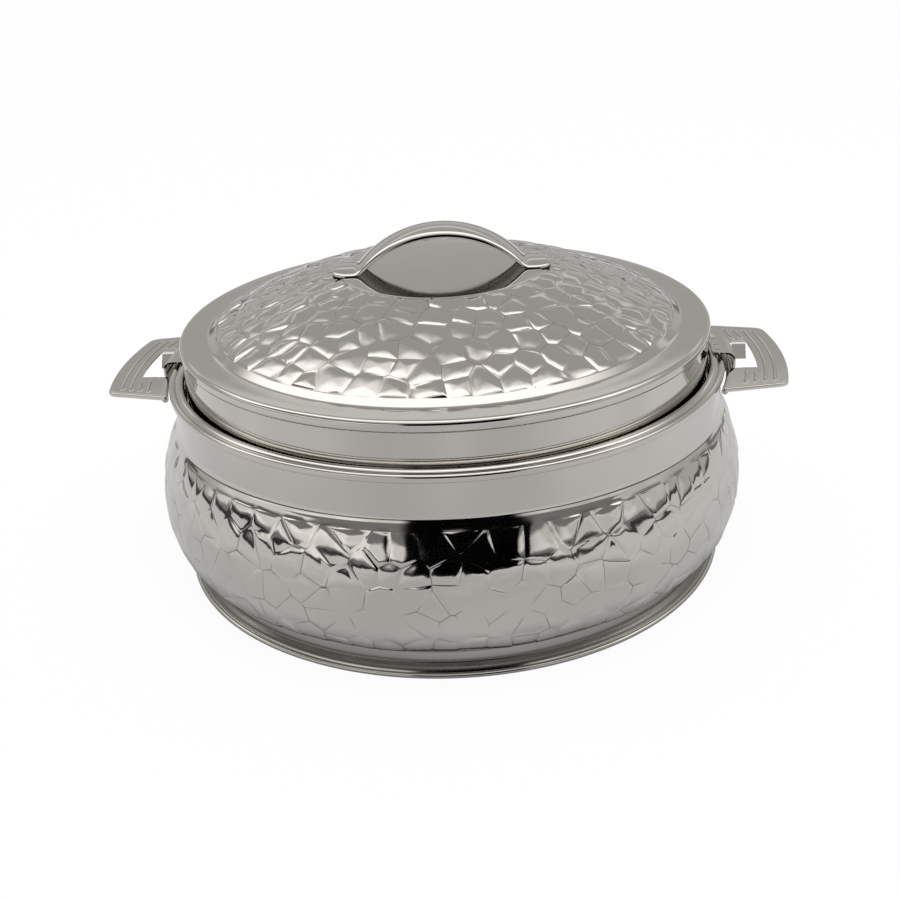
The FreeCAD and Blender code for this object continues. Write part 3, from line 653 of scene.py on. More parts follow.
def voronoi_cells(blows, ghosts):
    """One polygon for each blow, given the mirrored blows beyond the band's edges too."""
    everyone = list(blows) + list(ghosts)
    near = kdtree.KDTree(len(everyone))
    for k, p in enumerate(everyone):
        near.insert((p[0], p[1], 0.0), k)
    near.balance()
    cells = []
    for k, (u, v) in enumerate(blows):
        polygon = [(u - CELL_REACH, v - CELL_REACH), (u + CELL_REACH, v - CELL_REACH),
                   (u + CELL_REACH, v + CELL_REACH), (u - CELL_REACH, v + CELL_REACH)]
        for _, other, _ in near.find_range((u, v, 0.0), 2 * CELL_REACH):
            if other != k:
                polygon = clipped(polygon, (u, v), everyone[other])
        cells.append(polygon)
    return cells


# %% Facets of the cells
FACET_RINGS = (1.0, 0.96, 0.91, 0.80, 0.62, 0.36)
BORDER_STEP = 2.6


def border_points(polygon, settle):
    """A cell's border in short steps, each point settled where the band's edge wants it."""
    border = []
    for p, q in zip(polygon, polygon[1:] + polygon[:1]):
        length = math.dist(p, q)
        if length < 1e-4:
            continue
        steps = max(1, round(length / BORDER_STEP))
        border += [settle((p[0] + (q[0] - p[0]) * k / steps, p[1] + (q[1] - p[1]) * k / steps))
                   for k in range(steps)]
    return border


def facet_mesh(cells, settle=lambda p: p):
    """Rings of points from each cell's border to its middle, their faces and their marks."""
    places, faces, inside, owner, middles = [], [], [], [], []
    for number, polygon in enumerate(cells):
        border = border_points(polygon, settle)
        middle = np.mean(np.array(border), axis=0)
        count, first = len(border), len(places)
        for ring in FACET_RINGS:
            places += [middle + (np.array(p) - middle) * ring for p in border]
            inside += [1.0 - ring] * count
        places.append(middle)
        inside.append(1.0)
        added = len(places) - first
        owner += [number] * added
        middles += [middle] * added
        for ring in range(len(FACET_RINGS) - 1):
            for k in range(count):
                a, b = first + ring * count + k, first + ring * count + (k + 1) % count
                faces.append((a, b, b + count, a + count))
        last, centre = first + (len(FACET_RINGS) - 1) * count, len(places) - 1
        faces += [(last + k, last + (k + 1) % count, centre) for k in range(count)]
    places = np.array(places)
    offset = np.column_stack([places - np.array(middles), np.zeros(len(places))])
    marks = {"inside": np.array(inside), "owner": np.array(owner, dtype=np.int32),
             "offset": offset}
    return places, faces, marks


# %% [markdown]
# ## The hammer's rule
# What a blow does to its cell is the same everywhere, so one Geometry Nodes tree does it:
# a thin groove on the border, a low pillow inside, a small lean that differs from cell to
# cell, and a slow wave over the sheet. Its sizes are named inputs in millimetres, so the
# belly can be struck lightly and the lid's dome hard.

# %% Hammer tree
MARK_KINDS = {"inside": "FLOAT", "owner": "INT", "offset": "FLOAT_VECTOR", "way": "FLOAT_VECTOR"}
HAMMER_NUMBERS = ("Crease Depth", "Crease Width", "Crease Shade", "Pillow", "Roundness", "Lean",
                  "Waves", "Wave Length")
PATCH_SCALE = 75.0          # patches of strong and faint grooves, to a metre


def hammer_tree():
    """A tree that moves points along their 'way' by the marks of a hammer."""
    tree = bpy.data.node_groups.new("hammer marks", "GeometryNodeTree")
    sockets = [("Sheet", "Geometry")] + [(name, "Float") for name in HAMMER_NUMBERS]
    for name, kind in sockets + [("Seed", "Int"), ("Finish", "Material")]:
        tree.interface.new_socket(name, in_out="INPUT", socket_type="NodeSocket" + kind)
    tree.interface.new_socket("Marked Sheet", in_out="OUTPUT",
                              socket_type="NodeSocketGeometry")

    given = node(tree, "NodeGroupInput").outputs
    inside, owner, offset, way = (
        wire(tree, "GeometryNodeInputNamedAttribute", {"Name": name}, "Attribute", data_type=kind)
        for name, kind in MARK_KINDS.items())
    place = wire(tree, "GeometryNodeInputPosition")

    strength = mapped(noise(place, PATCH_SCALE, 0.0), 0.44, 0.60)
    crease_and_painted_shade = mapped(inside, 0.0, given["Crease Width"], 1.0, 0.0) * strength
    groove = crease_and_painted_shade * given["Crease Depth"]
    dished = 1.0 - (1.0 - inside).math("POWER", given["Roundness"])
    pillow = dished * given["Pillow"]

    chance = wire(tree, "FunctionNodeRandomValue",
                  {"Min": (-1.0, -1.0, 0.0), "Max": (1.0, 1.0, 0.0), "ID": owner,
                   "Seed": given["Seed"]}, "Value", data_type="FLOAT_VECTOR")
    lean = offset.vector("DOT_PRODUCT", chance) * given["Lean"] * mapped(inside, 0.0, 0.2)
    per_metre = wire(tree, "ShaderNodeMath", {0: 1000.0, 1: given["Wave Length"]},
                     operation="DIVIDE")
    wave = (noise(place, per_metre) - 0.5) * given["Waves"]

    metres = (pillow + lean - groove + wave) * MM
    move = way.vector("SCALE", out="Vector", Scale=metres)
    sheet = wire(tree, "GeometryNodeSetPosition", {"Geometry": given["Sheet"], "Offset": move})
    # Painted shade: the crease's points are stored darker, for the steel's colour.
    dark = crease_and_painted_shade * way.vector("LENGTH").math("GREATER_THAN", 0.5) * given["Crease Shade"]
    sheet = wire(tree, "GeometryNodeStoreNamedAttribute",
                 {"Geometry": sheet, "Name": "crease_and_painted_shade", "Value": dark}, data_type="FLOAT",
                 domain="POINT")
    sheet = wire(tree, "GeometryNodeRealizeInstances", {"Geometry": sheet})
    sheet = wire(tree, "GeometryNodeSetMaterial", {"Geometry": sheet,
                                                   "Material": given["Finish"]})
    node(tree, "NodeGroupOutput", {"Marked Sheet": sheet})
    return tree


marks_tree = hammer_tree()
print("hammer tree:", len(marks_tree.nodes), "nodes")


# %% Striking a sheet
def hammered(name, points, faces, marks, body, stands_for, inputs):
    """A sheet struck by the hammer tree; marks hold each band point's four attributes."""
    piece = mesh_object(name, points, faces, hammered_steel)
    for key, kind in MARK_KINDS.items():
        values = np.zeros((len(points),) + marks[key].shape[1:], dtype=marks[key].dtype)
        values[:len(marks[key])] = marks[key]
        layer = piece.data.attributes.new(key, kind, "POINT")
        layer.data.foreach_set("vector" if kind == "FLOAT_VECTOR" else "value", values.ravel())
    modifier = piece.modifiers.new("hammer marks", "NODES")
    modifier.node_group = marks_tree
    inputs = {**inputs, "Finish": hammered_steel}
    for item in marks_tree.interface.items_tree:
        if item.in_out == "INPUT" and item.name in inputs:
            modifier[item.identifier] = inputs[item.name]
    plain_result(piece)
    for key in MARK_KINDS:
        piece.data.attributes.remove(piece.data.attributes[key])
    return finished(piece, body, stands_for, HAMMERED_SHARP)


# %% Joining rings with different counts of points
ON_EDGE = 1e-3


def zipped(low, low_angles, high, high_angles=ANGLES):
    """Triangles between two closed rings whose points are sorted by angle."""
    faces, i, j = [], 0, 0
    while i < len(low) or j < len(high):
        next_low = low_angles[i + 1] if i + 1 < len(low) else low_angles[0] + 2 * math.pi
        next_high = high_angles[j + 1] if j + 1 < len(high) else high_angles[0] + 2 * math.pi
        if j >= len(high) or (i < len(low) and next_low <= next_high):
            faces.append((low[i], low[(i + 1) % len(low)], high[j % len(high)]))
            i += 1
        else:
            faces.append((low[i % len(low)], high[(j + 1) % len(high)], high[j]))
            j += 1
    return faces


def edge_ring(values, level, angles, inside):
    """Numbers and angles of the border points that lie on a band's edge, sorted by angle."""
    found = {}
    for k in np.nonzero((np.abs(values - level) < ON_EDGE) & (inside == 0.0))[0]:
        angle = angles[k] % (2 * math.pi)
        found.setdefault(round(angle, 5), (int(k), angle))
    ring = sorted(found.values(), key=lambda pair: pair[1])
    return [k for k, _ in ring], [a for _, a in ring]


print("sheet helpers ready")

# %% [markdown]
# ## Outer shell
# A plain neck, then the bulging belly with its hammer marks down to the base. The belly
# is unrolled to a flat band for the pattern: one way round, the other way down the outline.

# %% Shell outline
SHELL_IN_RIM = 0.8          # the shell ends this far under the middle of the rim's beads
NECK_FILLET, BELLY_SWELL, BELLY_Z = 8.0, 12.7, 45.0
BELLY_UPPER_ARC, BELLY_LOWER_ARC, KNUCKLE_ARC = 72.7, 60.0, 16.0
HAMMER_TOP_Z = 81.5         # height at which the hammered band starts
HAMMER_END = 9.0            # how far before the outline's end it stops
BELLY_R_MEAN = 158.0

reach = BELLY_UPPER_ARC + NECK_FILLET
fillet_z = BELLY_Z + math.sqrt(reach ** 2 - (reach - BELLY_SWELL) ** 2)
fillet = math.degrees(math.asin((fillet_z - BELLY_Z) / reach))
knuckle = math.degrees(math.asin((BELLY_Z - BOTTOM_Z - KNUCKLE_ARC)
                                 / (BELLY_LOWER_ARC - KNUCKLE_ARC)))
shell = Trace(NECK_R, RIM_Z - SHELL_IN_RIM, -90.0).to_z(fillet_z).bend(NECK_FILLET, fillet, 2.0)
shell.bend(BELLY_UPPER_ARC, -fillet, 1.0).bend(BELLY_LOWER_ARC, -knuckle, 1.0)
shell.bend(KNUCKLE_ARC, knuckle - 90.0, 3.0)
outline = np.array(shell.points)
runs = np.concatenate([[0.0], np.cumsum(np.hypot(*np.diff(outline[:, :2], axis=0).T))])
band_top = np.interp(-HAMMER_TOP_Z, -outline[:, 1], runs)
band_end = runs[-1] - HAMMER_END
print("hammered band:", round(band_end - band_top, 1), "mm down the belly")

# %% Belly's blows
BELLY_PITCH = 12.9
BELLY_STRAY_U, BELLY_STRAY_V = 0.40, 0.38       # how far a blow strays from its grid place
BELLY_SEED = 11
WRAP, MIRROR = 60, 30       # blows this near an edge are repeated beyond it


def on_shell(places):
    """Place on the shell, and the way out, from the flat band's coordinates."""
    a = places[:, 0] / BELLY_R_MEAN
    r, z, nr, nz = (np.interp(places[:, 1], runs, outline[:, k]) for k in range(4))
    place = np.stack([r * np.cos(a), r * np.sin(a), z], axis=1)
    way = np.stack([nr * np.cos(a), nr * np.sin(a), nz], axis=1)
    return place, way / np.linalg.norm(way, axis=1)[:, None]


def band_blows(length, low, high):
    """Jittered rows of blows on a band that closes on itself."""
    chance = random.Random(BELLY_SEED)
    rows, columns = round((high - low) / BELLY_PITCH), round(length / BELLY_PITCH)
    blows = []
    for row in range(rows):
        for column in range(columns):
            u = column + 0.5 * (row % 2) + chance.uniform(-BELLY_STRAY_U, BELLY_STRAY_U)
            v = row + 0.5 + chance.uniform(-BELLY_STRAY_V, BELLY_STRAY_V)
            blows.append((u * length / columns % length, low + v * (high - low) / rows))
    return blows


around = 2 * math.pi * BELLY_R_MEAN
blows = band_blows(around, band_top, band_end)
ghosts = [(u + s * around, v) for u, v in blows for s in (-1, 1)
          if not WRAP < u < around - WRAP]
ghosts += [(u, 2 * edge - v) for u, v in blows + ghosts for edge in (band_top, band_end)
           if abs(v - edge) < MIRROR]
places, faces, marks = facet_mesh(voronoi_cells(blows, ghosts))
surface, marks["way"] = on_shell(places)
print("belly blows:", len(blows))

# %% Outer shell
FLANGE_R = 128.017          # inner edge of the shell's turned-in bottom
BAND_CLEAR = 0.8            # no plain ring comes closer to the hammered band

points = [tuple(p) for p in surface]
angles = places[:, 0] / BELLY_R_MEAN
top_ring, low_ring = (edge_ring(places[:, 1], level, angles, marks["inside"])
                      for level in (band_top, band_end))
above = [p for p, run in zip(shell.face(), runs) if run < band_top - BAND_CLEAR]
below = [p for p, run in zip(shell.face(), runs) if run > band_end + BAND_CLEAR]
flange, flange_top = (FLANGE_R, BOTTOM_Z), (FLANGE_R, BOTTOM_Z + SHEET)
up = [ring_at(points, r, z) for r, z in above[::-1]]
down = [ring_at(points, r, z) for r, z in below + [flange]]
back = [ring_at(points, r, z) for r, z in [flange_top] + shell.face(SHEET)[::-1]]
faces += zipped(*top_ring, up[0]) + strips(up)
faces += zipped(*low_ring, down[0]) + strips(down + back + [up[-1]])
hammered("shell_outer", points, faces, marks, "pot", "outer_shell",
         {"Crease Depth": 0.05, "Crease Width": 0.05, "Crease Shade": 0.85, "Pillow": 0.22,
          "Roundness": 2.2, "Lean": 0.045, "Waves": 1.2, "Wave Length": 18.0, "Seed": 12})

# %% [markdown]
# ## Lid cover
# A flat crown under the handle, a hammered dome, a steep step, a flat ring and the skirt
# that drops into the mouth. The dome's cells are drawn in plan, between two circles, and
# their outer borders are settled onto the circles so that crown and step stay round.

# %% Lid outline
CROWN_Z, CROWN_R, CROWN_ARC = 160.0, 52.5, 10.0
DOME_ARC, CROWN_TURN, DOME_TURN = 274.0, 11.47, 27.02
STEP_STEEPER, STEP_TOP_ARC, STEP_FOOT_ARC = 9.0, 6.0, 3.0
LID_FLAT_Z, LID_R, LID_EDGE_ARC, LID_EDGE_H = 132.4, 144.0, 2.4, 4.4
TUCK_ARC, OVERHANG = 0.8, 0.8
SKIRT_END_Z, LID_HEM_ARC, LID_HEM_R = 101.0, 1.2, 139.6

step_turn = DOME_TURN + STEP_STEEPER
tuck = math.degrees(math.acos(1 - OVERHANG / (2 * TUCK_ARC + SHEET)))
cover = Trace(0.0, CROWN_Z, 0.0).to_r(CROWN_R).bend(CROWN_ARC, -CROWN_TURN, 2.0)
crown_count = len(cover.points)
cover.bend(DOME_ARC, CROWN_TURN - DOME_TURN, 0.8)
dome_count = len(cover.points)
cover.bend(STEP_TOP_ARC, -STEP_STEEPER, 3.0)
cover.to_z(LID_FLAT_Z + STEP_FOOT_ARC * (1 - math.cos(math.radians(step_turn))))
cover.bend(STEP_FOOT_ARC, step_turn, 6.0).to_r(LID_R - LID_EDGE_ARC)
cover.bend(LID_EDGE_ARC, -90.0, 5.0).to_z(LID_FLAT_Z - LID_EDGE_H)
cover.bend(TUCK_ARC + SHEET, -tuck).bend(TUCK_ARC, tuck).to_z(SKIRT_END_Z)
cover.bend(LID_HEM_ARC, -90.0).to_r(LID_HEM_R)
lid_line = np.array(cover.points)
CIRCLES = DOME_IN, DOME_OUT = lid_line[crown_count - 1, 0], lid_line[dome_count - 1, 0]
print("dome from radius", round(DOME_IN, 1), "to", round(DOME_OUT, 1), "mm")

# %% Dome's blows
DOME_PITCH, DOME_RING_PITCH = 15.0, 15.0 * 0.75
DOME_STRAY_R, DOME_STRAY_A = 0.34, 0.33
DOME_SEED = 8
SETTLE = 1.3


def dome_blows():
    """Rings of blows in plan, each ring with its own count and turn."""
    chance = random.Random(DOME_SEED)
    rings = round((DOME_OUT - DOME_IN) / DOME_RING_PITCH)
    step = (DOME_OUT - DOME_IN) / rings
    blows = []
    for ring in range(rings):
        middle = DOME_IN + (ring + 0.5) * step
        count = round(2 * math.pi * middle / DOME_PITCH)
        for k in range(count):
            r = middle + chance.uniform(-DOME_STRAY_R, DOME_STRAY_R) * step
            turn = k + 0.5 * (ring % 2) + chance.uniform(-DOME_STRAY_A, DOME_STRAY_A)
            blows.append(plan(r, turn * 2 * math.pi / count))
    return blows


def on_circles(p):
    """A border point near one of the dome's two circles, moved onto it."""
    r = math.hypot(*p)
    for circle in CIRCLES:
        if abs(r - circle) < SETTLE:
            return p[0] * circle / r, p[1] * circle / r
    return p


blows = dome_blows()
ghosts = []
for u, v in blows:
    r = math.hypot(u, v)
    ghosts += [(u * (2 * circle / r - 1), v * (2 * circle / r - 1)) for circle in CIRCLES
               if abs(r - circle) < MIRROR]
places, faces, marks = facet_mesh(voronoi_cells(blows, ghosts), on_circles)
radius = np.hypot(places[:, 0], places[:, 1])
height, nr, nz = (np.interp(radius, lid_line[:dome_count + 1, 0], lid_line[:dome_count + 1, k])
                  for k in (1, 2, 3))
marks["way"] = np.column_stack([places / radius[:, None] * nr[:, None], nz])
print("dome blows:", len(blows))

# %% Lid cover
points = [tuple(p) for p in np.column_stack([places, height])]
angles = np.arctan2(places[:, 1], places[:, 0])
crown_ring, foot_ring = (edge_ring(radius, circle, angles, marks["inside"])
                         for circle in CIRCLES)
up = [ring_at(points, r, z) for r, z in cover.face()[crown_count - 2::-1]]
down = [ring_at(points, r, z) for r, z in cover.face()[dome_count:] + cover.face(SHEET)[::-1]]
faces += zipped(*crown_ring, up[0]) + strips(up)
faces += zipped(*foot_ring, down[0]) + strips(down)
hammered("lid_top", points, faces, marks, "lid", "lid_cover",
         {"Crease Depth": 0.04, "Crease Width": 0.05, "Crease Shade": 0.5, "Pillow": 0.62,
          "Roundness": 1.9, "Lean": 0.08, "Waves": 0.5, "Wave Length": 24.0, "Seed": 21})

# %% Lid liner
LINER_EDGE_R, LINER_WALL_R, LINER_EDGE_Z, LINER_WALL_Z = 142.0, 136.4, 100.6, 106.0
LINER_FOOT_ARC, LINER_CORNER_ARC = 1.6, 5.0

liner = Trace(LINER_EDGE_R, LINER_EDGE_Z, 180.0).to_r(LINER_WALL_R).bend(LINER_FOOT_ARC, -90.0)
liner.to_z(LINER_WALL_Z).bend(LINER_CORNER_ARC, 90.0).to_r(HOLE_R)
turned("lid_lining", liner.sheet(), satin_steel, "lid", "lid_liner")

# %% [markdown]
# ## Pressed strips
# The bow, the wings and the straps are pressed from flat sheet. Each is made as one open
# face of points, which is the sheet's outer side, and a Solidify modifier gives it the
# real thickness. That keeps every bend and every cut edge the same thickness.

# %% Sheet thickness
def given_thickness(piece, thickness, body, stands_for):
    """Turns an open face, whose outer side is up, into a sheet, and finishes it."""
    cleaned(piece.data, facing_up=True)
    modifier = piece.modifiers.new("sheet", "SOLIDIFY")
    modifier.thickness = thickness * MM
    modifier.offset = -1.0
    modifier.use_even_offset = True
    modifier.use_quality_normals = True
    return finished(plain_result(piece), body, stands_for)


def grid_faces(rows):
    """Faces between rows of point numbers; a face whose corners include None is left out."""
    faces = []
    for low, high in zip(rows, rows[1:]):
        for k in range(len(low) - 1):
            corners = (low[k], low[k + 1], high[k + 1], high[k])
            if None not in corners:
                faces.append(corners)
    return faces


def spread(*runs):
    """Values along a line: each run is (start, end, steps); shared ends come once."""
    values = []
    for start, end, steps in runs:
        values += [start + (end - start) * k / steps for k in range(steps)]
    return values + [runs[-1][1]]


# %% [markdown]
# ## Bow handle
# The bow is a strip with a low crown, bent up over the crown of the lid, with its edges
# turned down and its feet rounded. Rows run across it; rings of points outside the rows
# roll the edge over and down. The arch then lifts every point along its own normal. Its
# underside is painted darker, a painted shade, so that its mirror image in the crown is dark.

# %% Bow outline
BOW_HALF_L, BOW_HALF_W, BOW_END_ARC, BOW_H, BOW_BEND_ARC = 59.0, 12.5, 8.0, 23.5, 6.0
BOW_FOOT_X, BOW_LIP, BOW_CROWN, BOW_SHEET = 47.0, 1.6, 1.4, 1.2
BOW_EDGE_REACH, BOW_EDGE_DROP = 3.0, 1.3
BOW_LIP_SAG = 1.4               # the lips are deeper in the middle of the arch
BOW_UNDER_SHADE, BOW_UNDER_NORMAL_Z = 0.8, -0.3
LID_TURN = math.radians(5.0)

slope = 2 * math.degrees(math.atan((BOW_H - BOW_LIP - BOW_CROWN) / BOW_FOOT_X))
arch = BOW_FOOT_X / math.sin(math.radians(slope)) - BOW_BEND_ARC
bow_line = Trace(-BOW_HALF_L, CROWN_Z, 0.0).to_r(-BOW_FOOT_X).bend(BOW_BEND_ARC, slope, 4.0)
bow_line.bend(arch, -2 * slope, 2.0).bend(BOW_BEND_ARC, slope, 4.0).to_r(BOW_HALF_L)
bow_path = np.array(bow_line.points)
stations = spread((-2.0, -1.0, 8), (-1.0, 1.0, 64), (1.0, 2.0, 8))
columns = spread((-1.0, 1.0, 14))
print("bow's arch:", round(2 * slope), "degrees of radius", round(arch, 1), "mm")


# %% Places on the bow
def bow_row(station, inset):
    """Plan points of one row; stations past 1 go round the rounded end."""
    side, turn = math.copysign(1.0, station), max(0.0, abs(station) - 1.0) * math.pi / 2
    straight, half = BOW_HALF_L - BOW_END_ARC, BOW_HALF_W - BOW_END_ARC
    if abs(station) <= 1.0:
        x, reach = station * straight, BOW_HALF_W - inset
    else:
        x = side * (straight + (BOW_END_ARC - inset) * math.sin(turn))
        reach = half + (BOW_END_ARC - inset) * math.cos(turn)
    return [(x, t * reach) for t in columns]


def bow_top(y):
    """Height of the bow's outer side over its underside."""
    return BOW_LIP + BOW_CROWN * (1 - (y / BOW_HALF_W) ** 2)


def bow_place(x, y, height):
    """Lifts a plan point to a height over the bow's underside, and turns it with the lid."""
    px, pz, nx, nz = (np.interp(x, bow_path[:, 0], bow_path[:, k]) for k in range(4))
    x, z = px + nx * height, pz + nz * height
    return (x * math.cos(LID_TURN) - y * math.sin(LID_TURN),
            x * math.sin(LID_TURN) + y * math.cos(LID_TURN), z)


def bow_ring(points, degrees, foot=False):
    """A closed ring round the bow, where its edge has rolled down so far; or the lip's foot."""
    roll = 1 - math.cos(math.radians(degrees))
    inset = BOW_EDGE_REACH * (1 - math.sin(math.radians(degrees)))
    rows = [bow_row(station, inset) for station in stations]
    loop = rows[0] + [row[-1] for row in rows[1:-1]] + rows[-1][::-1]
    loop += [row[0] for row in rows[-2:0:-1]]
    places = []
    for x, y in loop:
        height = 0.0 if foot else bow_top(y) - BOW_EDGE_DROP * roll
        lower = BOW_LIP_SAG * roll * max(0.0, 1 - (x / BOW_FOOT_X) ** 2)
        places.append(bow_place(x, y, height - lower))
    ring = numbered(points, places)
    return ring + ring[:1]


# %% Bow handle
points = []
rows = [numbered(points, [bow_place(x, y, bow_top(y)) for x, y in bow_row(s, BOW_EDGE_REACH)])
        for s in stations]
rings = [bow_ring(points, degrees) for degrees in range(0, 91, 10)]
rings.append(bow_ring(points, 90, foot=True))
bow = mesh_object("bow", points, grid_faces(rows) + grid_faces(rings), pressed_steel)
given_thickness(bow, BOW_SHEET, "lid", "lid_handle")
# Painted shade on the underside.
shade_painted(bow, [BOW_UNDER_SHADE * (point.normal.z < BOW_UNDER_NORMAL_Z)
              for point in bow.data.vertices])

# %% [markdown]
# ## Wing handles
# Each wing is one pressed sheet: its edge turned down, low ridges across the grip, a
# window cut through it with the cut tongues bent down, and its inner edge rolled round a
# wire that is the hinge. Rows follow circles about the pot, close together at each ridge.

# %% Wing outline
HEM_R, HEM_ARC, HEM_Z = 155.0, 1.8, 104.5
WING_TOP_Z, WING_LIP, WING_SHEET, WING_EDGE_ARC = 106.3, 2.0, 0.9, 0.9
WING_OUT_R, WING_HALF_IN, WING_HALF_OUT, WING_CORNER = 185.4, 49.0, 42.0, 7.0
WINDOW_OUT_R, WINDOW_HALF = 169.5, 20.0
TONGUE_IN_X, TONGUE_OUT_X, TONGUE_END_Z = 160.2, 167.9, 98.5
TONGUE_ARC, TONGUE_SLOPE = 2.2, 55.0
RIDGES = (164.0, 168.8, 173.6, 178.4)
RIDGE_ARC, RIDGE_RISE, RIDGE_HALF, RIDGE_GAP, RIDGE_FADE = 1.1, 0.5, 0.917, 4.5, 4.0
RIDGE_FLANK = (-0.8, -0.7)


def at_half(radius, half):
    return Vector((math.sqrt(radius ** 2 - half ** 2), half))


side_start = at_half(HEM_R, WING_HALF_IN)
side_way = (at_half(WING_OUT_R, WING_HALF_OUT) - side_start).normalized()
side_out = Vector((-side_way.y, side_way.x))
corner_r = WING_OUT_R - WING_CORNER
lean = math.atan2(side_out.y, side_out.x)
corner_angle = lean - math.acos((side_start.dot(side_out) - WING_CORNER) / corner_r)
corner = Vector(plan(corner_r, corner_angle))
print("wing corner at", [round(v, 1) for v in corner], "mm")


def wing_side(radius):
    """Where the wing's side, inside its rolled edge, crosses a circle; and its way out."""
    start = side_start - side_out * WING_EDGE_ARC
    along = start.dot(side_way)
    t = -along + math.sqrt(along ** 2 - start.dot(start) + radius ** 2)
    return start + side_way * t, side_out


def wing_corner(turn):
    """The rounded corner; turn runs from 0 at the side to 1 at the outer edge."""
    way = Vector(plan(1.0, lean + (corner_angle - lean) * turn))
    return corner + way * (WING_CORNER - WING_EDGE_ARC), way


# %% Wing rows
ridge_steps = (-RIDGE_HALF, -0.75, -0.5, -0.25, 0.0, 0.25, 0.5, 0.75, RIDGE_HALF)
radii = {HEM_R, 157.0, 159.5, WINDOW_OUT_R, 161.2, 162.3, 166.3, 171.2, 176.0}
radii |= {ridge + step for ridge in RIDGES for step in ridge_steps}
radii |= {math.hypot(x, WINDOW_HALF) for x in (TONGUE_IN_X, TONGUE_OUT_X)}
corner_start_r = (corner + side_out * (WING_CORNER - WING_EDGE_ARC)).length
borders = [wing_side(r) for r in sorted(radii) if r < corner_start_r - 0.3]
borders += [wing_corner(k / 10) for k in range(11)]
print("wing rows:", len(borders))


def ridge_height(radius, y, half):
    """How far a ridge stands over the sheet there."""
    for number, ridge in enumerate(RIDGES):
        off = abs(radius - ridge)
        starts = WINDOW_HALF + RIDGE_GAP if number < 2 else 0.0
        if off < RIDGE_HALF:
            to_end = min(half - RIDGE_GAP - y, y - starts if starts else RIDGE_FADE)
            share = min(1.0, max(0.0, to_end / RIDGE_FADE))
            full = math.sqrt(RIDGE_ARC ** 2 - off ** 2) - (RIDGE_ARC - RIDGE_RISE)
            return full * share * share * (3 - 2 * share)
    return 0.0


def wing_columns(half):
    """Distances from the middle of a row to its side, the same number in every row."""
    start, end = WINDOW_HALF + RIDGE_GAP, half - RIDGE_GAP
    return spread((0.0, WINDOW_HALF, 8), (WINDOW_HALF, start, 2), (start, start + RIDGE_FADE, 4),
                  (start + RIDGE_FADE, end - RIDGE_FADE, 6), (end - RIDGE_FADE, end, 4),
                  (end, half, 3))


# %% Wing edges
def wing_edge(points, loop):
    """Rings that roll a wing's edge over and down to its lip; loop is numbers and ways out."""
    rings = [[k for k, _ in loop]]
    for degrees, lip in ((22.5, False), (45, False), (67.5, False), (90, False), (90, True)):
        turn = math.radians(degrees)
        drop = WING_LIP if lip else WING_EDGE_ARC * (1 - math.cos(turn))
        places = []
        for k, way in loop:
            move = way * WING_EDGE_ARC * math.sin(turn)
            places.append((points[k][0] + move.x, points[k][1] + move.y, WING_TOP_Z - drop))
        rings.append(numbered(points, places))
    return rings


def wing_hem(points, row):
    """Rows that roll a wing's inner edge round its wire."""
    rows = [row]
    for degrees in range(100, 371, 10):
        turn = math.radians(degrees)
        reach, level = HEM_R + HEM_ARC * math.cos(turn), HEM_Z + HEM_ARC * math.sin(turn)
        out = [Vector(points[k][:2]).normalized() * reach for k in row]
        rows.append(numbered(points, [(p.x, p.y, level) for p in out]))
    return rows


def wing_tongue(points, root, side):
    """Rows of a tongue bent down from one end of the window."""
    line = Trace(WINDOW_HALF, WING_TOP_Z, 180.0).bend(TONGUE_ARC, TONGUE_SLOPE, 11.0)
    line.to_z(TONGUE_END_Z)
    return [root] + [numbered(points, [(points[k][0], side * y, z) for k in root])
                     for y, z, _, _ in line.points[1:]]


# %% Wing sheet
def wing_points():
    """The wing's outer face: rows, turned-down edge, hem roll and tongues."""
    points, grid, holed = [], [], []
    for border, way in borders:
        radius, half = border.length, border.y
        distances = wing_columns(half)
        ys = [-y for y in distances[:0:-1]] + distances
        row = numbered(points, [(math.sqrt(radius ** 2 - y ** 2), y,
                                 WING_TOP_Z + ridge_height(radius, abs(y), half)) for y in ys])
        grid.append((row, ys, radius, way))
        inner = radius < WINDOW_OUT_R - 1e-6
        holed.append([None if inner and abs(y) < WINDOW_HALF - 1e-6 else k
                      for k, y in zip(row, ys)])
    faces = grid_faces(holed)

    left = [(row[0], Vector((way.x, -way.y))) for row, _, _, way in grid]
    right = [(row[-1], way) for row, _, _, way in grid]
    outer = [(k, Vector(points[k][:2]).normalized()) for k in grid[-1][0][1:-1]]
    faces += grid_faces(wing_edge(points, left + outer + right[::-1]))
    faces += grid_faces(wing_hem(points, grid[0][0]))

    for side in (-1, 1):
        root = []
        for row, ys, radius, _ in grid:
            x = math.sqrt(max(0.0, radius ** 2 - WINDOW_HALF ** 2))
            if TONGUE_IN_X - 1e-3 < x < TONGUE_OUT_X + 1e-3:
                root.append(row[ys.index(side * WINDOW_HALF)])
        faces += grid_faces(wing_tongue(points, root, side))
    return points, faces


# %% A pair of wings
def both_sides(name, points, faces, shares, thickness, body, stands_for):
    """A pressed piece on the right, and the same piece turned half way round on the left."""
    turned_half = [(-x, -y, z) for x, y, z in points]
    for side, places in (("right", points), ("left", turned_half)):
        piece = mesh_object(name + side, places, faces, pressed_steel)
        shade_painted(piece, shares)
        given_thickness(piece, thickness, body.format(side), stands_for + side)


def in_painted_ridge_shade(x, y, z):
    """Whether a point lies low on the inner flank of a ridge, where shade is painted."""
    off = min((math.hypot(x, y) - ridge for ridge in RIDGES), key=abs)
    return RIDGE_FLANK[0] < off < RIDGE_FLANK[1] and z > WING_TOP_Z + 0.1


points, faces = wing_points()
both_sides("wing_", points, faces, [in_painted_ridge_shade(*p) for p in points], WING_SHEET, "wing_{}",
           "side_handle_")

# %% [markdown]
# ## Straps
# A strap hooks over the rim, drops through the wing's window, turns under the hem and
# runs down the neck. Three short dashes are pressed in its top. Rows follow its bends and
# columns run along them; columns and rows are close together where the dashes are.

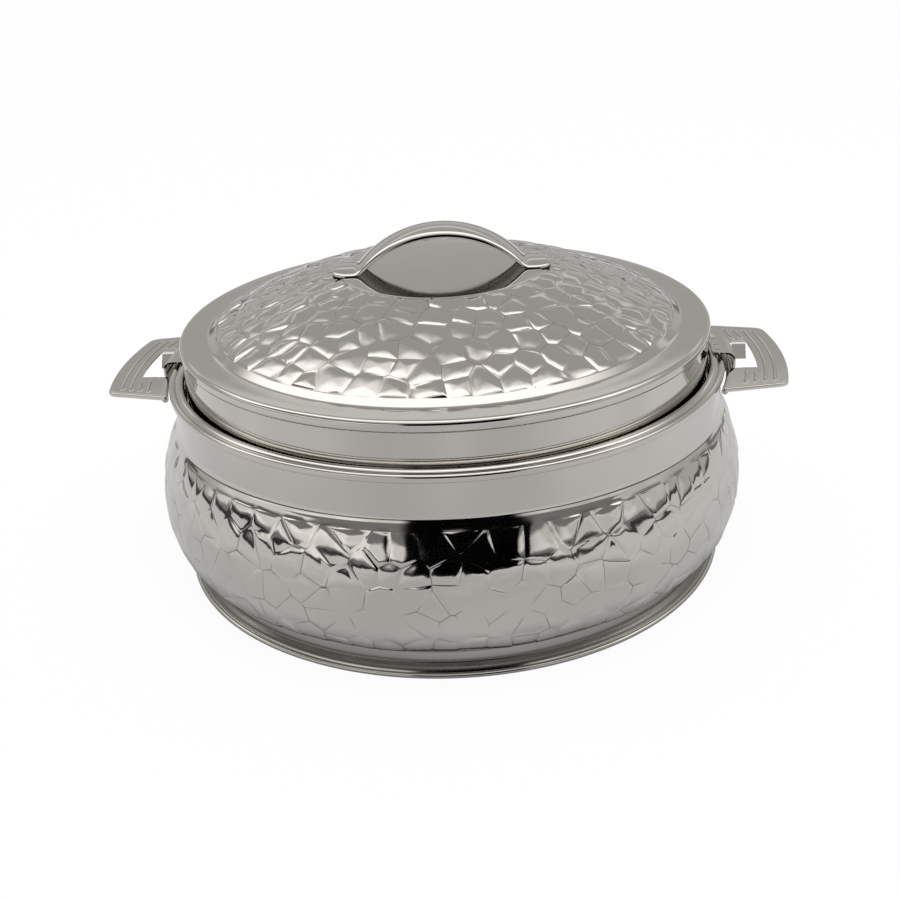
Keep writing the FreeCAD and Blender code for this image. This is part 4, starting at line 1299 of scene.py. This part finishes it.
# %% Strap outline
STRAP_HALF_W, STRAP_IN_R, STRAP_TOP_Z, STRAP_SHEET, STRAP_CORNER = 12.8, 145.7, 112.1, 1.0, 3.0
SHOULDER_ARC, LOOP_ARC, TAIL_ARC, TAIL_R = 4.7, 3.4, 1.2, 152.5
TAIL_END_CLEAR = 0.2        # the tail ends this far over the neck's fillet
DASH_R, DASH_HALF_L, DASH_HALF_W, DASH_ARC, DASH_RISE = 148.9, 1.4, 0.606, 0.7, 0.35
DASH_PITCH = 8.5

strap = Trace(STRAP_IN_R, STRAP_TOP_Z, 0.0)
flat_r = (146.5, 147.2, 147.5, 147.7, 148.0, 148.9, 149.8, 150.1, 150.3, 150.6, 151.6, 152.6)
for r in flat_r:
    strap.to_r(r)
flat_count = len(strap.points)
strap.to_r(HEM_R + LOOP_ARC - SHOULDER_ARC)
flat_end = strap.r
strap.bend(SHOULDER_ARC, -90.0, 7.5).to_z(HEM_Z).bend(LOOP_ARC, -90.0, 9.0)
strap.to_r(TAIL_R).bend(TAIL_ARC, 90.0, 10.0).to_z(fillet_z + TAIL_END_CLEAR)

half_angle = math.asin(STRAP_HALF_W / HEM_R)
dash_angles = [math.asin(DASH_PITCH / DASH_R) * k for k in (-1, 0, 1)]
angles = {a + step / DASH_R for a in dash_angles
          for step in (-0.6, -0.45, -0.25, 0.0, 0.25, 0.45, 0.6)}
angles |= {s * half_angle * t for s in (-1, 1)
           for t in (0.25, 0.36, 0.55, 0.8, 0.86, 0.91, 0.96, 1)}
angles = sorted(angles)
print("strap:", len(strap.points), "rows of", len(angles), "points")


# %% Straps
def corner_start(y):
    """Radius at which the strap begins, at a distance from its middle line."""
    past = max(0.0, abs(y) - (STRAP_HALF_W - STRAP_CORNER))
    return STRAP_IN_R + STRAP_CORNER - math.sqrt(max(0.0, STRAP_CORNER ** 2 - past ** 2))


def dash_height(r, angle):
    """How far a pressed dash stands over the strap there."""
    across = min(abs(angle - a) * DASH_R for a in dash_angles)
    along = max(0.0, abs(r - DASH_R) - (DASH_HALF_L - 0.6))
    off = math.hypot(across, along)
    return 0.0 if off >= DASH_HALF_W else (math.sqrt(DASH_ARC ** 2 - off ** 2)
                                           - (DASH_ARC - DASH_RISE))


points, rows, dash_painted_shade = [], [], []
for number, (r, z, _, _) in enumerate(strap.points):
    places = []
    for angle in angles:
        reach, level = r, z
        if number < flat_count:
            begin = corner_start(HEM_R * math.sin(angle))
            reach = begin + (r - STRAP_IN_R) / (flat_end - STRAP_IN_R) * (flat_end - begin)
            level = z + dash_height(r, angle)
        # Painted shade: a dash's points are painted dark.
        dash_painted_shade.append(level - z > 0.05)
        places.append((*plan(reach, angle), level))
    rows.append(numbered(points, places))
both_sides("strap_", points, grid_faces(rows), dash_painted_shade, STRAP_SHEET, "pot", "handle_bracket_")

# %% [markdown]
# ## Pieces kept as the CAD made them
# Studs, washers, nuts, hinge wires and the foam have the right shape already. They only
# need their finish, which is put in their objects' material slots.

# %% Kept pieces
PLATED = ("lid_handle_studs", "lid_handle_washers", "lid_handle_nuts", "hem_wire_right",
          "hem_wire_left")
FOAM = ("body_insulation", "lid_insulation")

for name in PLATED + FOAM:
    piece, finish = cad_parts[name], plated_steel if name in PLATED else foam_finish
    if not piece.material_slots:
        piece.data.materials.append(finish)
    for slot in piece.material_slots:
        slot.link = "OBJECT"
        slot.material = finish
print("kept pieces:", len(PLATED + FOAM))
